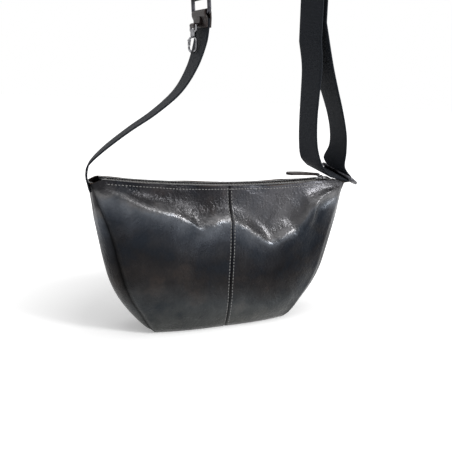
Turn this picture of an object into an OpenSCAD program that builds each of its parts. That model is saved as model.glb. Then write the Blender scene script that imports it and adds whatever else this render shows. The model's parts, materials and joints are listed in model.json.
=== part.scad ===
// Soft half-moon crossbody bag with a zip mouth, a webbing strap, two strap
// rings, a sliding adjuster and a snap hook that hangs from the strap's end tab.
// Frame: X runs along the bag, -Y is its front and +Z is up. The origin is the
// inside of the strap's top, where a peg or a shoulder carries the bag.

/* [Bag body] */
// Width of the bag between its two top corners
bag_w = 300; // [270:5:330]
// Height of the zip line above the base at its lowest point
mouth_h = 159; // [145:1:170]
// Depth of the filled bag
bag_d = 64; // [54:1:74]
// Thickness of the leather
leather_t = 1.6; // [1.3:0.1:1.9]
// Thickness of the lining cloth
lining_t = 0.5; // [0.4:0.1:0.7]
// Gap left between sewn pieces
seam_gap = 0.3; // [0.2:0.05:0.4]

/* [Zip] */
// Distance from the zip's ends to the bag's corners
zip_end = 17; // [15:1:30]
// Sag of the zip between its stops
zip_sag = 6.2; // [5:0.2:8]
// How far the zip's lowest point lies to the right of the middle
zip_shift = 23; // [0:1:30]
// Height of the leather rim above the zip line
rim_rise = 1.6; // [1.2:0.1:2]
// Drop of the rim at the corners, past the zip's ends
rim_drop = 5; // [3:0.5:6]
// Distance between teeth on one side
tooth_pitch = 2.5; // [2:0.1:3]
// Length of a tooth across the zip
tooth_l = 2.45; // [2.2:0.05:2.8]
// Width of a tooth along the zip
tooth_w = 1.3; // [1:0.05:1.5]
// Height of a tooth
tooth_h = 2.4; // [2:0.1:2.8]
// Slot between the two rows of teeth
tooth_slot = 0.9; // [0.8:0.05:1.1]
// Thickness of the zip tape
tape_t = 0.6; // [0.5:0.05:0.8]
// Length of the slider
slider_l = 12; // [10:0.5:14]
// Width of the slider
slider_w = 9.2; // [9:0.1:10]
// Thickness of the slider's plates
slider_t = 1.1; // [0.9:0.1:1.3]
// Running gap round the slider
slider_gap = 0.3; // [0.25:0.05:0.4]

/* [Zip pull] */
// Thickness of the pull ring's wire
pull_wire = 1.6; // [1.4:0.1:1.8]
// Width inside the pull ring
pull_ring_w = 7; // [6:0.5:9]
// Distance between the pull ring's two bars
pull_ring_h = 7.5; // [7:0.5:9]
// Lean of the pull ring from upright
pull_ring_lean = 60; // [50:1:66]
// Length of the leather tongue
tongue_l = 40; // [34:1:44]
// Width of the leather tongue
tongue_w = 11; // [9:0.5:13]
// Thickness of the leather tongue
tongue_t = 2.6; // [2:0.1:3]
// Slope of the tongue above level
tongue_rise = 2; // [1:1:6]

/* [Strap] */
// Width of the webbing
web_w = 38; // [32:1:40]
// Thickness of the webbing
web_t = 1.6; // [1.4:0.1:1.9]
// Height of the strap's top above the bag's corners
strap_rise = 484; // [440:4:560]
// Distance between the strands below the strap's top
strand_gap = 128; // [110:2:140]
// How far the strap's top lies to the right of the bag's middle
strap_shift = 14; // [8:1:18]
// Thickness of the strap rings' wire
ring_wire = 4; // [3.5:0.1:4.5]
// Width inside the strap rings
ring_w = 40; // [40:1:44]
// Distance between the two long bars of a strap ring
ring_h = 17; // [15:0.5:20]
// Slack between a ring's bar and the webbing round it
ring_slack = 1; // [0.8:0.1:1.4]
// Turn of the corner ring about the vertical
ring_yaw = 22; // [15:1:26]
// Tilt of the corner ring towards the front
ring_tilt = 16.5; // [12:0.5:18]
// Turn of the right strands about the vertical
strand_yaw = 8; // [4:1:12]
// Lean of the right strands from the vertical
strand_lean = 3.4; // [3:0.2:4]

/* [Adjuster] */
// Thickness of the adjuster's bars
adjuster_bar = 4; // [3.6:0.1:4.4]
// Height of the adjuster between its outer bars
adjuster_h = 24; // [22:1:28]
// Thickness of the adjuster's side plates
adjuster_side = 2.6; // [2.2:0.1:3]
// Height of the adjuster above the lower end of the straight strand
adjuster_up = 118; // [110:2:130]
// Length of the straight part of the right strand
straight_l = 250; // [240:2:256]
// Length of the sewn end below the adjuster
sewn_l = 26; // [22:1:30]

/* [Snap hook] */
// Width of the hook
hook_w = 10; // [9.5:0.5:11]
// Length of the hook below its swivel
hook_l = 17; // [16:0.5:18]
// Thickness of the hook's wire
hook_wire = 2.2; // [2:0.1:2.4]
// Width inside the hook's eye
eye_w = 13; // [12:0.5:15]
// Thickness of the eye's wire
eye_wire = 2.4; // [2.2:0.1:2.6]
// Height of the hook's eye between its bar and the swivel plate
eye_h = 5.4; // [5:0.1:6]

/* [Hidden] */
$fn = 48;
eps = 0.01;
half_w = bag_w / 2;
half_d = bag_d / 2;
// Running clearance on the radius of a pin in its bore
pin_gap = 0.08;

// Outline of the bag from the base, share 0, to the corner, share 1
level_shares = [0, 0.03, 0.125, 0.25, 0.37, 0.5, 0.62, 0.73, 0.8, 0.88, 1];
// Half width of the outline at those levels, as shares of half the bag's width
width_shares = [0.538, 0.58, 0.646, 0.728, 0.781, 0.82, 0.854, 0.892, 0.922, 0.954, 1];
// Depth of the side seam and of the middle at those levels, as shares of half the bag's depth
seam_depth_shares = [0.48, 0.58, 0.615, 0.65, 0.65, 0.615, 0.58, 0.53, 0.47, 0.41, 0.37];
middle_depth_shares = [0.69, 0.82, 0.97, 1, 1, 0.98, 0.94, 0.85, 0.67, 0.46, 0.41];
// Outward swell of the gusset at those levels, as a share of its seam depth
swell_shares = [0, 0.12, 0.3, 0.38, 0.4, 0.4, 0.36, 0.25, 0.1, 0, 0];
// Levels and widths at which the panels are drawn
row_shares = [0, 0.02, 0.05, 0.09, 0.15, 0.25, 0.37, 0.5, 0.6, 0.68, 0.74, 0.79, 0.84, 0.89, 0.94, 1];
column_shares = [0, 0.12, 0.25, 0.4, 0.55, 0.68, 0.8, 0.9, 1];
// Level where the lining's cloth begins and ends
lining_low_share = 0.03;
lining_high_share = 0.93;
// Step used to find a surface's slope
slope_share = 0.004;
// How full the panel stays towards its side seam, at the base and at the rim
fullness_low = 3;
fullness_high = 5;

// Zip line: an arc of a large circle whose centre is far above the bag
zip_half = half_w - zip_end;
zip_r = (zip_half * zip_half + zip_sag * zip_sag) / (2 * zip_sag);
zip_centre_z = mouth_h + zip_r;
stop_w = 2.4;
chain_half = zip_half - stop_w - seam_gap;
slider_x = zip_half - stop_w - slider_l / 2 - 2 * seam_gap;
band_t = 1.2;
band_end = zip_half + 2 * stop_w;
band_in = slider_w / 2 + slider_gap;
strip_shares = [-1, -0.9, -0.78, -0.6, -0.4, -0.2, 0, 0.2, 0.4, 0.6, 0.78, 0.9, 1];
// Slider bridge and the seat of the ring in it
bridge_r = 3;
bridge_wire = 1.6;
plate_z = tooth_h / 2 + slider_gap;
bridge_z = plate_z + slider_t;
ring_seat = 1.3;
web_plate = 0.5;

// Height of the bag's corner and of the strap's top above the base
corner_z = rim_height(half_w);
arch_r = strand_gap / 2;
hang_z = corner_z + strap_rise - web_t / 2;
arch_z = corner_z + strap_rise - arch_r;

// Corner ring on the right: its lower bar, and the direction to its upper bar
tab_bar = [half_w + ring_wire * 0.7, -ring_wire * 0.4, corner_z + ring_wire * 1.65];
ring_lean = 65;
upper_bar = tab_bar + turned([-sin(ring_lean) * ring_h, 0, cos(ring_lean) * ring_h]);
wrap_r = ring_wire / 2 + ring_slack + web_t / 2;

// Lower end of the straight part of the right strand, and its upper end
strand_dir = [-sin(strand_lean) * cos(strand_yaw), -sin(strand_lean) * sin(strand_yaw), cos(strand_lean)];
straight_low = [half_w * 0.6233, -strand_dir[1] * straight_l, corner_z + strap_rise * 0.3247];
straight_high = straight_low + strand_dir * straight_l;
adjuster_place = straight_low + strand_dir * adjuster_up;
// Centre bar of the adjuster beside the strand, and the loop sewn round it
loop_gap = 0.2;
loop_r = adjuster_bar / 2 + loop_gap + web_t;
centre_bar_x = web_t / 2 + seam_gap + loop_r;
outer_bar_x = -(web_t / 2 + seam_gap + adjuster_bar / 2);
sewn_x = centre_bar_x + web_t / 2;

// Ends of the strap at the left: the sewn tab, its ring and the hook
end_bar = [-half_w * 0.2471, 0, corner_z + strap_rise * 0.3589];
end_ring_lean = 5.7;
end_upper_bar = end_bar + [-sin(end_ring_lean), 0, cos(end_ring_lean)] * ring_h;
end_tab_h = 14;
end_tab_w = web_w - leather_t;
end_web_x = end_bar[0] + web_t;
hook_x = end_bar[0] - 7.6;
eye_bar = [hook_x, 0, end_bar[2] - end_tab_h + eye_wire * 0.75];
loop_leather_t = 1.1;
eye_bend = eye_wire * 0.75;
swivel_t = eye_wire + 2 * pin_gap;
swivel_z = eye_bar[2] - eye_h;
stem_r = 1.2;
head_z = swivel_z + swivel_t / 2 + pin_gap;
head_h = 1;
collar_h = 3.4;
collar_r = 2.9;
hook_top = swivel_z - swivel_t / 2 - pin_gap - collar_h;
bow_r = (hook_w - hook_wire) / 2;
bow_z = hook_top - bow_r - hook_wire / 2 + web_plate;
leg_l = hook_l - 2 * bow_r - hook_wire;
gate_t = 2;
gate_boss_r = 1.5;
gate_pin_r = 0.55;
gate_gap = 0.35;
tongue_plate = 1;
cheek_t = 0.6;
nose_h = 1.6;

leather_colour = [0.1, 0.09, 0.095];
edge_colour = [0.2, 0.1, 0.08];
web_colour = [0.11, 0.13, 0.15];
cloth_colour = [0.22, 0.2, 0.18];
metal_colour = [0.36, 0.36, 0.38];
bright_colour = [0.62, 0.62, 0.63];

// Smooth curve through a table of places and values
function span(t, xs, i = 0) = (i >= len(xs) - 2 || t < xs[i + 1]) ? i : span(t, xs, i + 1);
function slope(xs, ys, i) =
    let(a = max(i - 1, 0), b = min(i + 1, len(xs) - 1)) (ys[b] - ys[a]) / (xs[b] - xs[a]);
function smooth(t, xs, ys) =
    let(
        i = span(t, xs), h = xs[i + 1] - xs[i], s = (t - xs[i]) / h,
        m0 = slope(xs, ys, i) * h, m1 = slope(xs, ys, i + 1) * h
    )
    ys[i] * (2 * s ^ 3 - 3 * s ^ 2 + 1) + m0 * (s ^ 3 - 2 * s ^ 2 + s)
        + ys[i + 1] * (3 * s ^ 2 - 2 * s ^ 3) + m1 * (s ^ 3 - s ^ 2);

function unit(v) = v / norm(v);
function reversed(v) = [for (i = [len(v) - 1:-1:0]) v[i]];

// Height of an arc that runs a given rise above the zip line
function arc_height(x, rise) = zip_centre_z - sqrt((zip_r - rise) ^ 2 - (x - zip_shift) ^ 2);
// Height of the bag's rim, which drops past the zip's ends
function rim_height(x) =
    let(s = max(abs(x) - band_end, 0) / (half_w - band_end))
    arc_height(x, rim_rise) - rim_drop * s ^ 2 * (3 - 2 * s);

// Outer face of the front panel: u runs from the middle to the side seam, v from base to rim
function outline_x(v) = half_w * smooth(v, level_shares, width_shares);
function seam_depth(v) = half_d * smooth(v, level_shares, seam_depth_shares);
function face_depth(u, v) =
    let(
        side = seam_depth(v), middle = half_d * smooth(v, level_shares, middle_depth_shares),
        power = fullness_low + (fullness_high - fullness_low) * v
    )
    side + (middle - side) * (1 - abs(u) ^ power);
function face_point(u, v, inset = 0) =
    [u * (outline_x(v) - inset), -face_depth(u, v), v * rim_height(u * half_w)];
function face_normal(u, v) =
    unit(cross(
        face_point(min(u + slope_share, 1), v) - face_point(max(u - slope_share, -1), v),
        face_point(u, min(v + slope_share, 1)) - face_point(u, max(v - slope_share, 0))
    ));
function under_face(u, v, depth, inset = 0) = face_point(u, v, inset) - face_normal(u, v) * depth;

// Turn of a point with the corner ring
function turned(p) =
    let(
        y = p[1] * cos(ring_tilt) - p[2] * sin(ring_tilt),
        z = p[1] * sin(ring_tilt) + p[2] * cos(ring_tilt)
    )
    [p[0] * cos(ring_yaw) - y * sin(ring_yaw), p[0] * sin(ring_yaw) + y * cos(ring_yaw), z];

// Solid through a row of closed rings, each ring being an outer line and the inner line back.
// The faces of both lines are parted the same way, so that two skins one behind the other stay apart.
module loft(rings) {
    n = len(rings[0]);
    rows = len(rings);
    last = (rows - 1) * n;
    half = n / 2;
    points = [for (ring = rings) each ring];
    sides = [for (r = [0:rows - 2]) for (k = [0:n - 1])
        let(a = r * n + k, b = r * n + (k + 1) % n)
        each k < half ? [[a, b + n, b], [a, a + n, b + n]] : [[a, a + n, b], [b, a + n, b + n]]];
    low_cap = [for (k = [0:half - 2]) each [[k, n - 2 - k, n - 1 - k], [k, k + 1, n - 2 - k]]];
    high_cap = [for (f = low_cap) reversed([for (i = f) i + last])];
    polyhedron(points, concat(sides, low_cap, high_cap));
}

// Shell patch of a panel between two depths under its outer face
function shell_rings(columns, rows, depth, thick, inset = 0) =
    [for (v = rows) concat(
        [for (u = columns) under_face(u, v, depth, inset)],
        [for (u = reversed(columns)) under_face(u, v, depth + thick, inset)]
    )];

// Half of the front panel on the right, or on the left with its columns in rising order
module panel_half(right) {
    first = seam_gap / 2 / half_w;
    columns = [for (u = column_shares) max(u, first)];
    loft(shell_rings(right ? columns : [for (u = reversed(columns)) -u], row_shares, 0, leather_t));
}

module lining_panel() {
    right_columns = [for (u = column_shares) if (u > 0) u];
    columns = concat([for (u = reversed(column_shares)) -u], right_columns);
    rows = [for (v = row_shares) if (v > lining_low_share && v < lining_high_share) v];
    loft(shell_rings(columns, concat([lining_low_share], rows, [lining_high_share]),
        leather_t + seam_gap, lining_t, leather_t + 2 * seam_gap));
}

// Places along the side and bottom seam, from the left corner round to the right one
base_shares = [-0.9, -0.8, -0.65, -0.4, 0.4, 0.65, 0.8, 0.9];
seam_stations = concat(
    [for (v = reversed(row_shares)) [-outline_x(v), v * rim_height(-half_w), v, -1]],
    [for (u = base_shares) [u * outline_x(0), 0, 0, u]],
    [for (v = row_shares) [outline_x(v), v * rim_height(half_w), v, 1]]
);
cross_shares = [-1, -0.5, 0, 0.5, 1];
function seam_out(i) =
    let(
        a = seam_stations[max(i - 1, 0)], b = seam_stations[min(i + 1, len(seam_stations) - 1)],
        d = unit([b[0] - a[0], b[1] - a[1]])
    )
    [d[1], -d[0]];
// Gusset strip at a depth under its outer face, with its edges a gap inside the panels
function gusset_edge(u, v, panel_depth) = -under_face(u, v, panel_depth)[1] - seam_gap;
function gusset_rings(depth, thick, panel_depth, top = 1) =
    [for (i = [0:len(seam_stations) - 1])
        let(
            p = seam_stations[i], out = seam_out(i), v = p[2], edge = gusset_edge(p[3], v, panel_depth),
            swell = seam_depth(v) * smooth(v, level_shares, swell_shares),
            full = gusset_edge(p[3], v, leather_t)
        )
        if (v <= top) concat(
            [for (s = cross_shares)
                gusset_point(p, out, swell * (1 - (s * edge / full) ^ 2) - depth, s * edge)],
            [for (s = reversed(cross_shares))
                gusset_point(p, out, swell * (1 - (s * edge / full) ^ 2) - depth - thick, s * edge)]
        )];
function gusset_point(p, out, shift, y) = [p[0] + out[0] * shift, y, p[1] + out[1] * shift];

// Strip along the zip on the front side, between two heights above the zip line
function zip_strip(near_y, low, high, end) =
    [for (s = strip_shares)
        let(x = s * end, far_y = under_face(x / half_w, 1, leather_t)[1] + seam_gap)
        [
            [x, -near_y, arc_height(x, low)], [x, -near_y, arc_height(x, high)],
            [x, far_y, arc_height(x, high)], [x, far_y, arc_height(x, low)]
        ]];

// Children stand on the zip line at a place given by its distance along X
function zip_turn(x) = asin((x - zip_shift) / zip_r);
module on_zip(x) {
    translate([zip_shift, 0, zip_centre_z]) rotate([0, -zip_turn(x), 0]) translate([0, 0, -zip_r]) children();
}
module behind() { mirror([0, 1, 0]) children(); }

module tooth() {
    neck = tooth_w * 0.62;
    translate([0, -tooth_slot / 2, -tooth_h / 2]) linear_extrude(tooth_h) polygon([
        [-tooth_w * 0.3, 0], [tooth_w * 0.3, 0], [tooth_w / 2, -tooth_l * 0.2], [tooth_w / 2, -tooth_l * 0.4],
        [neck / 2, -tooth_l * 0.55], [tooth_w / 2, -tooth_l * 0.75], [tooth_w / 2, -tooth_l],
        [-tooth_w / 2, -tooth_l], [-tooth_w / 2, -tooth_l * 0.75], [-neck / 2, -tooth_l * 0.55],
        [-tooth_w / 2, -tooth_l * 0.4], [-tooth_w / 2, -tooth_l * 0.2]
    ]);
}
module tooth_row(shift) {
    count = floor(chain_half / tooth_pitch);
    for (i = [-count:count - 1]) on_zip((i + shift) * tooth_pitch) tooth();
}

// Closed wire ring: width and height between bar centres, lying in the YZ plane
module wire_ring(w, h, wire, bend) {
    for (s = [-1, 1]) {
        translate([0, 0, (1 + s) * h / 2]) rotate([90, 0, 0])
            cylinder(h = w - 2 * bend, d = wire, center = true);
        translate([0, s * w / 2, h / 2]) cylinder(h = h - 2 * bend, d = wire, center = true);
        for (t = [0, 1])
            translate([0, s * (w / 2 - bend), t ? h - bend : bend]) rotate([0, 90, 0])
                rotate([0, 0, corner_turn(s, t)]) rotate_extrude(angle = 90)
                    translate([bend, 0]) circle(d = wire);
    }
}
function corner_turn(s, t) = s > 0 ? (t ? 90 : 0) : (t ? 180 : 270);

// Webbing: stations hold a place, a turn about the vertical, a tilt to the front and a share of its width
function place(s) = [s[0], s[1], s[2]];
function across(s) = [sin(s[3]) * cos(s[4]), -cos(s[3]) * cos(s[4]), -sin(s[4])];
function along(st, i) = unit(place(st[min(i + 1, len(st) - 1)]) - place(st[max(i - 1, 0)]));
module ribbon(st, w, t) {
    loft([for (i = [0:len(st) - 1])
        let(
            p = place(st[i]), a = across(st[i]) * w * st[i][5] / 2,
            m = unit(cross(along(st, i), across(st[i]))) * t / 2
        )
        [p - a - m, p + a - m, p + a + m, p - a + m]]);
}
// Smooth run through a few stations, with a given number of steps between two of them
function blend_station(st, i, s) =
    let(
        p0 = st[max(i - 1, 0)], p1 = st[i], p2 = st[i + 1], p3 = st[min(i + 2, len(st) - 1)],
        m1 = (p2 - p0) / 2, m2 = (p3 - p1) / 2
    )
    p1 * (2 * s ^ 3 - 3 * s ^ 2 + 1) + m1 * (s ^ 3 - 2 * s ^ 2 + s)
        + p2 * (3 * s ^ 2 - 2 * s ^ 3) + m2 * (s ^ 3 - s ^ 2);
function run(st, steps) =
    concat(
        [for (i = [0:len(st) - 2]) for (k = [0:steps - 1]) blend_station(st, i, k / steps)],
        [st[len(st) - 1]]
    );
// Station from shares: X as a share of half the bag's width, Z as a share of the strap's rise
function share_station(r, wide = 1) = [r[0] * half_w, 0, corner_z + r[1] * strap_rise, r[2], r[3], wide];
function arc_stations(c, r, from, to, steps) =
    [for (k = [0:steps])
        let(a = from + (to - from) * k / steps)
        [c[0] + r * cos(a), c[1], c[2] + r * sin(a), 0, 0, 1]];

// Route of the strap: sewn end, round the end ring, over the top, down the right, round the corner ring
end_ply_shares = [
    [-0.2933, 0.477, 0, 0], [-0.2851, 0.4496, 0, 0], [-0.2616, 0.426, 0, 0], [-0.2392, 0.4095, 0, 0]
];
left_strand_shares = [
    [-0.29, 0.4162, 0, 0], [-0.2975, 0.4447, 0, 0], [-0.3078, 0.4772, 0, 0], [-0.3184, 0.5157, 0, 0],
    [-0.3271, 0.5663, 0, 0], [-0.329, 0.6267, 0, 0]
];
inner_strand_shares = [
    [0.6488, 0.2692, 8, 0], [0.6519, 0.2078, 9, 1], [0.6582, 0.1462, 11, 3],
    [0.6806, 0.0895, 14, 6], [0.7299, 0.0486, 18, 11], [0.8125, 0.0247, 21, 15]
];
outer_strand_shares = [
    [0.9401, 0.0475, 20, 14], [0.9605, 0.0801, 16, 10], [0.9461, 0.1184, 13, 6],
    [0.8974, 0.1663, 10, 3], [0.8128, 0.226, 8, 1], [0.7359, 0.2782, 8, 0]
];
wrap_from = -125;
wrap_to = -6;
wrap_steps = 6;
wrap_stations = [for (k = [0:wrap_steps])
    let(
        a = wrap_from + (wrap_to - wrap_from) * k / wrap_steps,
        p = upper_bar + turned([cos(a) * wrap_r, 0, sin(a) * wrap_r])
    )
    concat(p, [ring_yaw, ring_tilt, 1])];
left_foot = [strap_shift - arch_r, 0, arch_z, 0, 0, 1];
strand_station_low = concat(straight_low, [strand_yaw, 0, 1]);
strand_station_high = concat(straight_high, [strand_yaw, 0, 1]);
strap_route = concat(
    run([for (r = end_ply_shares) share_station(r)], 3),
    arc_stations(end_upper_bar, wrap_r, 0, -180, 8),
    run(concat([for (r = left_strand_shares) share_station(r)], [left_foot]), 3),
    arc_stations([strap_shift, 0, arch_z], arch_r, 180, 0, 20),
    [strand_station_high, strand_station_low],
    run(concat([for (r = inner_strand_shares) share_station(r)]), 3),
    wrap_stations
);
// The return strand starts a gap above the wrap and ends a gap below the sewn loop
wrap_end = wrap_stations[len(wrap_stations) - 1];
loop_side = [cos(strand_yaw), sin(strand_yaw), 0];
return_top = adjuster_place - strand_dir * (sewn_l + loop_r + seam_gap) + loop_side * sewn_x;
return_low = adjuster_place - strand_dir * (adjuster_up - web_w / 2) + loop_side * sewn_x;
return_start = place(wrap_end) + turned([0, 0, seam_gap + web_t / 2]);
return_route = concat(
    run(concat(
        [concat(return_start, [ring_yaw, ring_tilt, 1])],
        [for (r = outer_strand_shares) share_station(r)],
        [concat(return_low, [strand_yaw, 0, 1])]
    ), 3),
    [concat(return_top, [strand_yaw, 0, 1])]
);
// Route of the lower webbing: folded narrow and sewn into the left corner, then up to the end tab
lower_shares = [
    [-0.957, -0.0108, -4, 0], [-0.9625, 0.003, -6, 0], [-0.9625, 0.0295, -12, 0],
    [-0.9725, 0.0419, -18, 0], [-0.9746, 0.0562, -20, 0], [-0.8838, 0.0854, -19, 0],
    [-0.7254, 0.1228, -16, 0], [-0.557, 0.1569, -12, 0], [-0.3977, 0.1994, -8, 0],
    [-0.299, 0.2489, -4, 0], [-0.2486, 0.297, -1, 0]
];
lower_width_shares = [0.19, 0.19, 0.22, 0.4, 0.8, 1, 1, 1, 1, 1, 1];
end_web_low = [end_web_x, 0, end_bar[2] - end_tab_h - seam_gap, 0, 0, 1];
end_web_high = [end_web_x, 0, end_bar[2] - ring_wire - leather_t, 0, 0, 1];
lower_route = concat(run(concat(
    [for (i = [0:len(lower_shares) - 1]) share_station(lower_shares[i], lower_width_shares[i])],
    [end_web_low]
), 3), [end_web_high]);

module placed() { translate([-strap_shift, 0, -hang_z]) children(); }
module at_corner_ring(p) { translate(p) rotate([ring_tilt, 0, ring_yaw]) children(); }
module at_adjuster() {
    translate(adjuster_place) rotate([0, 0, strand_yaw]) rotate([0, -strand_lean, 0]) children();
}
// Plate or bar drawn in the XZ plane and drawn out along Y about the middle
module across_y(w) { rotate([90, 0, 0]) linear_extrude(w, center = true) children(); }

module front_panel_left() { color(leather_colour) placed() panel_half(false); }
module front_panel_right() { color(leather_colour) placed() panel_half(true); }
module back_panel_left() { color(leather_colour) placed() behind() panel_half(false); }
module back_panel_right() { color(leather_colour) placed() behind() panel_half(true); }
module gusset() { color(leather_colour) placed() loft(gusset_rings(0, leather_t, leather_t)); }
module lining_front() { color(cloth_colour) placed() lining_panel(); }
module lining_back() { color(cloth_colour) placed() behind() lining_panel(); }
module lining_gusset() {
    under = leather_t + seam_gap;
    color(cloth_colour) placed()
        loft(gusset_rings(under, lining_t, under + lining_t + seam_gap, lining_high_share));
}
module rim_band() {
    low = tape_t / 2 + seam_gap;
    loft(zip_strip(band_in, low, low + band_t, band_end));
}
module rim_band_front() { color(leather_colour) placed() rim_band(); }
module rim_band_back() { color(leather_colour) placed() behind() rim_band(); }
module zip_tape() {
    loft(zip_strip(tooth_slot / 2 + tooth_l + seam_gap, -tape_t / 2, tape_t / 2, band_end));
}
module zip_tape_front() { color(web_colour) placed() zip_tape(); }
module zip_tape_back() { color(web_colour) placed() behind() zip_tape(); }
module zip_teeth_front() { color(metal_colour) placed() tooth_row(0.25); }
module zip_teeth_back() { color(metal_colour) placed() behind() tooth_row(0.75); }
module zip_bottom_stop() {
    color(metal_colour) placed() on_zip(-(zip_half - stop_w / 2))
        cube([stop_w, tooth_slot + 2 * tooth_l, tooth_h], center = true);
}
module zip_top_stops() {
    color(metal_colour) placed() on_zip(zip_half - stop_w / 2)
        for (s = [-1, 1]) translate([0, s * (tooth_slot + tooth_l) / 2, 0])
            cube([stop_w, tooth_l, tooth_h], center = true);
}

// Slider: two shield-shaped plates with side flanges, a thin web in the slot and the bridge
module slider_plate() {
    nose = slider_w * 0.36;
    linear_extrude(slider_t) polygon([
        [-slider_l / 2, -nose * 0.7], [-slider_l * 0.38, -nose], [-slider_l * 0.1, -slider_w / 2],
        [slider_l * 0.42, -slider_w / 2], [slider_l / 2, -slider_w * 0.4],
        [slider_l / 2, slider_w * 0.4], [slider_l * 0.42, slider_w / 2], [-slider_l * 0.1, slider_w / 2],
        [-slider_l * 0.38, nose], [-slider_l / 2, nose * 0.7]
    ]);
}
module zip_slider() {
    flange_y = tooth_slot / 2 + tooth_l + slider_gap;
    flange_t = slider_w / 2 - flange_y;
    flange_low = tape_t / 2 + slider_gap;
    flange_high = plate_z + slider_t / 2;
    flange_middle = (flange_low + flange_high) / 2;
    flange_l = slider_l * 0.5;
    color(bright_colour) placed() on_zip(slider_x) {
        for (s = [-1, 1]) {
            translate([0, 0, s > 0 ? plate_z : -plate_z - slider_t]) slider_plate();
            for (t = [-1, 1])
                translate([slider_l * 0.16, t * (flange_y + flange_t / 2), s * flange_middle])
                    cube([flange_l, flange_t, flange_high - flange_low], center = true);
        }
        translate([slider_l * 0.3, 0, 0])
            cube([slider_l * 0.25, web_plate, 2 * plate_z + slider_t], center = true);
        translate([0, 0, bridge_z - eps]) rotate([90, 0, 0]) rotate_extrude(angle = 180)
            translate([bridge_r, 0]) circle(d = bridge_wire);
    }
}
module at_pull_ring() {
    on_zip(slider_x) translate([0, 0, bridge_z + ring_seat]) rotate([0, -pull_ring_lean, 0]) children();
}
module zip_pull_ring() {
    color(bright_colour) placed() at_pull_ring()
        wire_ring(pull_ring_w + pull_wire, pull_ring_h, pull_wire, pull_wire);
}
module zip_pull_tongue() {
    loop_out = pull_wire / 2 + pin_gap + leather_t;
    neck_w = pull_ring_w - 4 * seam_gap;
    turn = zip_turn(slider_x) + pull_ring_lean + tongue_rise;
    color(edge_colour) placed() at_pull_ring() translate([0, 0, pull_ring_h]) rotate([0, turn, 0])
        difference() {
            union() {
                across_y(neck_w) circle(r = loop_out);
                intersection() {
                    across_y(tongue_w) translate([-tongue_l, -tongue_t / 2]) square([tongue_l, tongue_t]);
                    translate([0, 0, -tongue_t]) linear_extrude(2 * tongue_t) union() {
                        translate([-tongue_l + tongue_w / 2, 0]) circle(d = tongue_w);
                        polygon([
                            [-tongue_l + tongue_w / 2, -tongue_w / 2], [-tongue_l / 3, -tongue_w / 2],
                            [-2 * loop_out, -neck_w / 2], [0, -neck_w / 2], [0, neck_w / 2],
                            [-2 * loop_out, neck_w / 2], [-tongue_l / 3, tongue_w / 2],
                            [-tongue_l + tongue_w / 2, tongue_w / 2]
                        ]);
                    }
                }
            }
            across_y(tongue_w) circle(r = pull_wire / 2 + pin_gap);
        }
}

// Leather tab at the right corner: a loop round the ring's bar and two plies on the gusset's outside
module corner_tab() {
    loop_out = ring_wire / 2 + pin_gap + leather_t;
    body_w = ring_w * 0.66;
    neck_w = seam_depth(1) * 1.2;
    drop = ring_wire * 2.8;
    low_share = 1 - drop / corner_z;
    fall = atan2(half_w - outline_x(low_share), drop);
    color(leather_colour) placed() difference() {
        union() {
            hull() {
                at_corner_ring(tab_bar) across_y(body_w) circle(r = loop_out);
                on_corner(fall) translate([0, -neck_w / 2, seam_gap])
                    cube([2 * leather_t, neck_w, seam_gap]);
            }
            on_corner(fall) translate([0, -neck_w / 2, -drop])
                cube([2 * leather_t, neck_w, drop + 2 * seam_gap]);
        }
        at_corner_ring(tab_bar) across_y(ring_w) circle(r = ring_wire / 2 + pin_gap);
    }
}
// Children stand at the right corner, a gap outside the gusset, and lean with its outer face
module on_corner(fall) { translate([half_w + seam_gap, 0, corner_z]) rotate([0, fall, 0]) children(); }
module corner_ring() {
    color(metal_colour) placed() at_corner_ring(tab_bar) rotate([0, -ring_lean, 0])
        wire_ring(ring_w + ring_wire, ring_h, ring_wire, ring_wire);
}
module strap_webbing() { color(web_colour) placed() ribbon(strap_route, web_w, web_t); }
module return_strand() { color(web_colour) placed() ribbon(return_route, web_w, web_t); }
module lower_webbing() { color(web_colour) placed() ribbon(lower_route, web_w, web_t); }

// Adjuster: two side plates that carry two outer bars and a centre bar set to the other side
module adjuster_frame() {
    bar_l = web_w + 2 * seam_gap + 2 * adjuster_side;
    color(metal_colour) placed() at_adjuster() {
        for (s = [-1, 1])
            translate([outer_bar_x, 0, s * adjuster_h / 2]) across_y(bar_l) circle(d = adjuster_bar);
        translate([centre_bar_x, 0, 0]) across_y(bar_l) circle(d = adjuster_bar);
        for (s = [-1, 1]) translate([0, s * (bar_l - adjuster_side) / 2, 0]) across_y(adjuster_side) union() {
            for (t = [-1, 1]) translate([outer_bar_x, t * adjuster_h / 2]) circle(d = adjuster_bar);
            translate([centre_bar_x, 0]) circle(d = adjuster_bar);
            polygon([
                [outer_bar_x - adjuster_bar / 2, -adjuster_h / 2],
                [outer_bar_x, -adjuster_h / 2 - adjuster_bar / 2],
                [outer_bar_x + adjuster_bar / 2, -adjuster_h / 2],
                [centre_bar_x + adjuster_bar / 2, 0],
                [outer_bar_x + adjuster_bar / 2, adjuster_h / 2],
                [outer_bar_x, adjuster_h / 2 + adjuster_bar / 2],
                [outer_bar_x - adjuster_bar / 2, adjuster_h / 2]
            ]);
        }
    }
}
// Sewn end of the webbing: a loop round the centre bar and two plies below it
module adjuster_loop() {
    color(web_colour) placed() at_adjuster() translate([centre_bar_x, 0, 0]) across_y(web_w) difference() {
        union() {
            circle(r = loop_r);
            translate([-loop_r + web_t, -loop_r]) square([2 * (loop_r - web_t), loop_r]);
            translate([-web_t / 2, -loop_r - sewn_l]) square([2 * web_t, sewn_l + web_t]);
        }
        circle(r = loop_r - web_t);
    }
}

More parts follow.
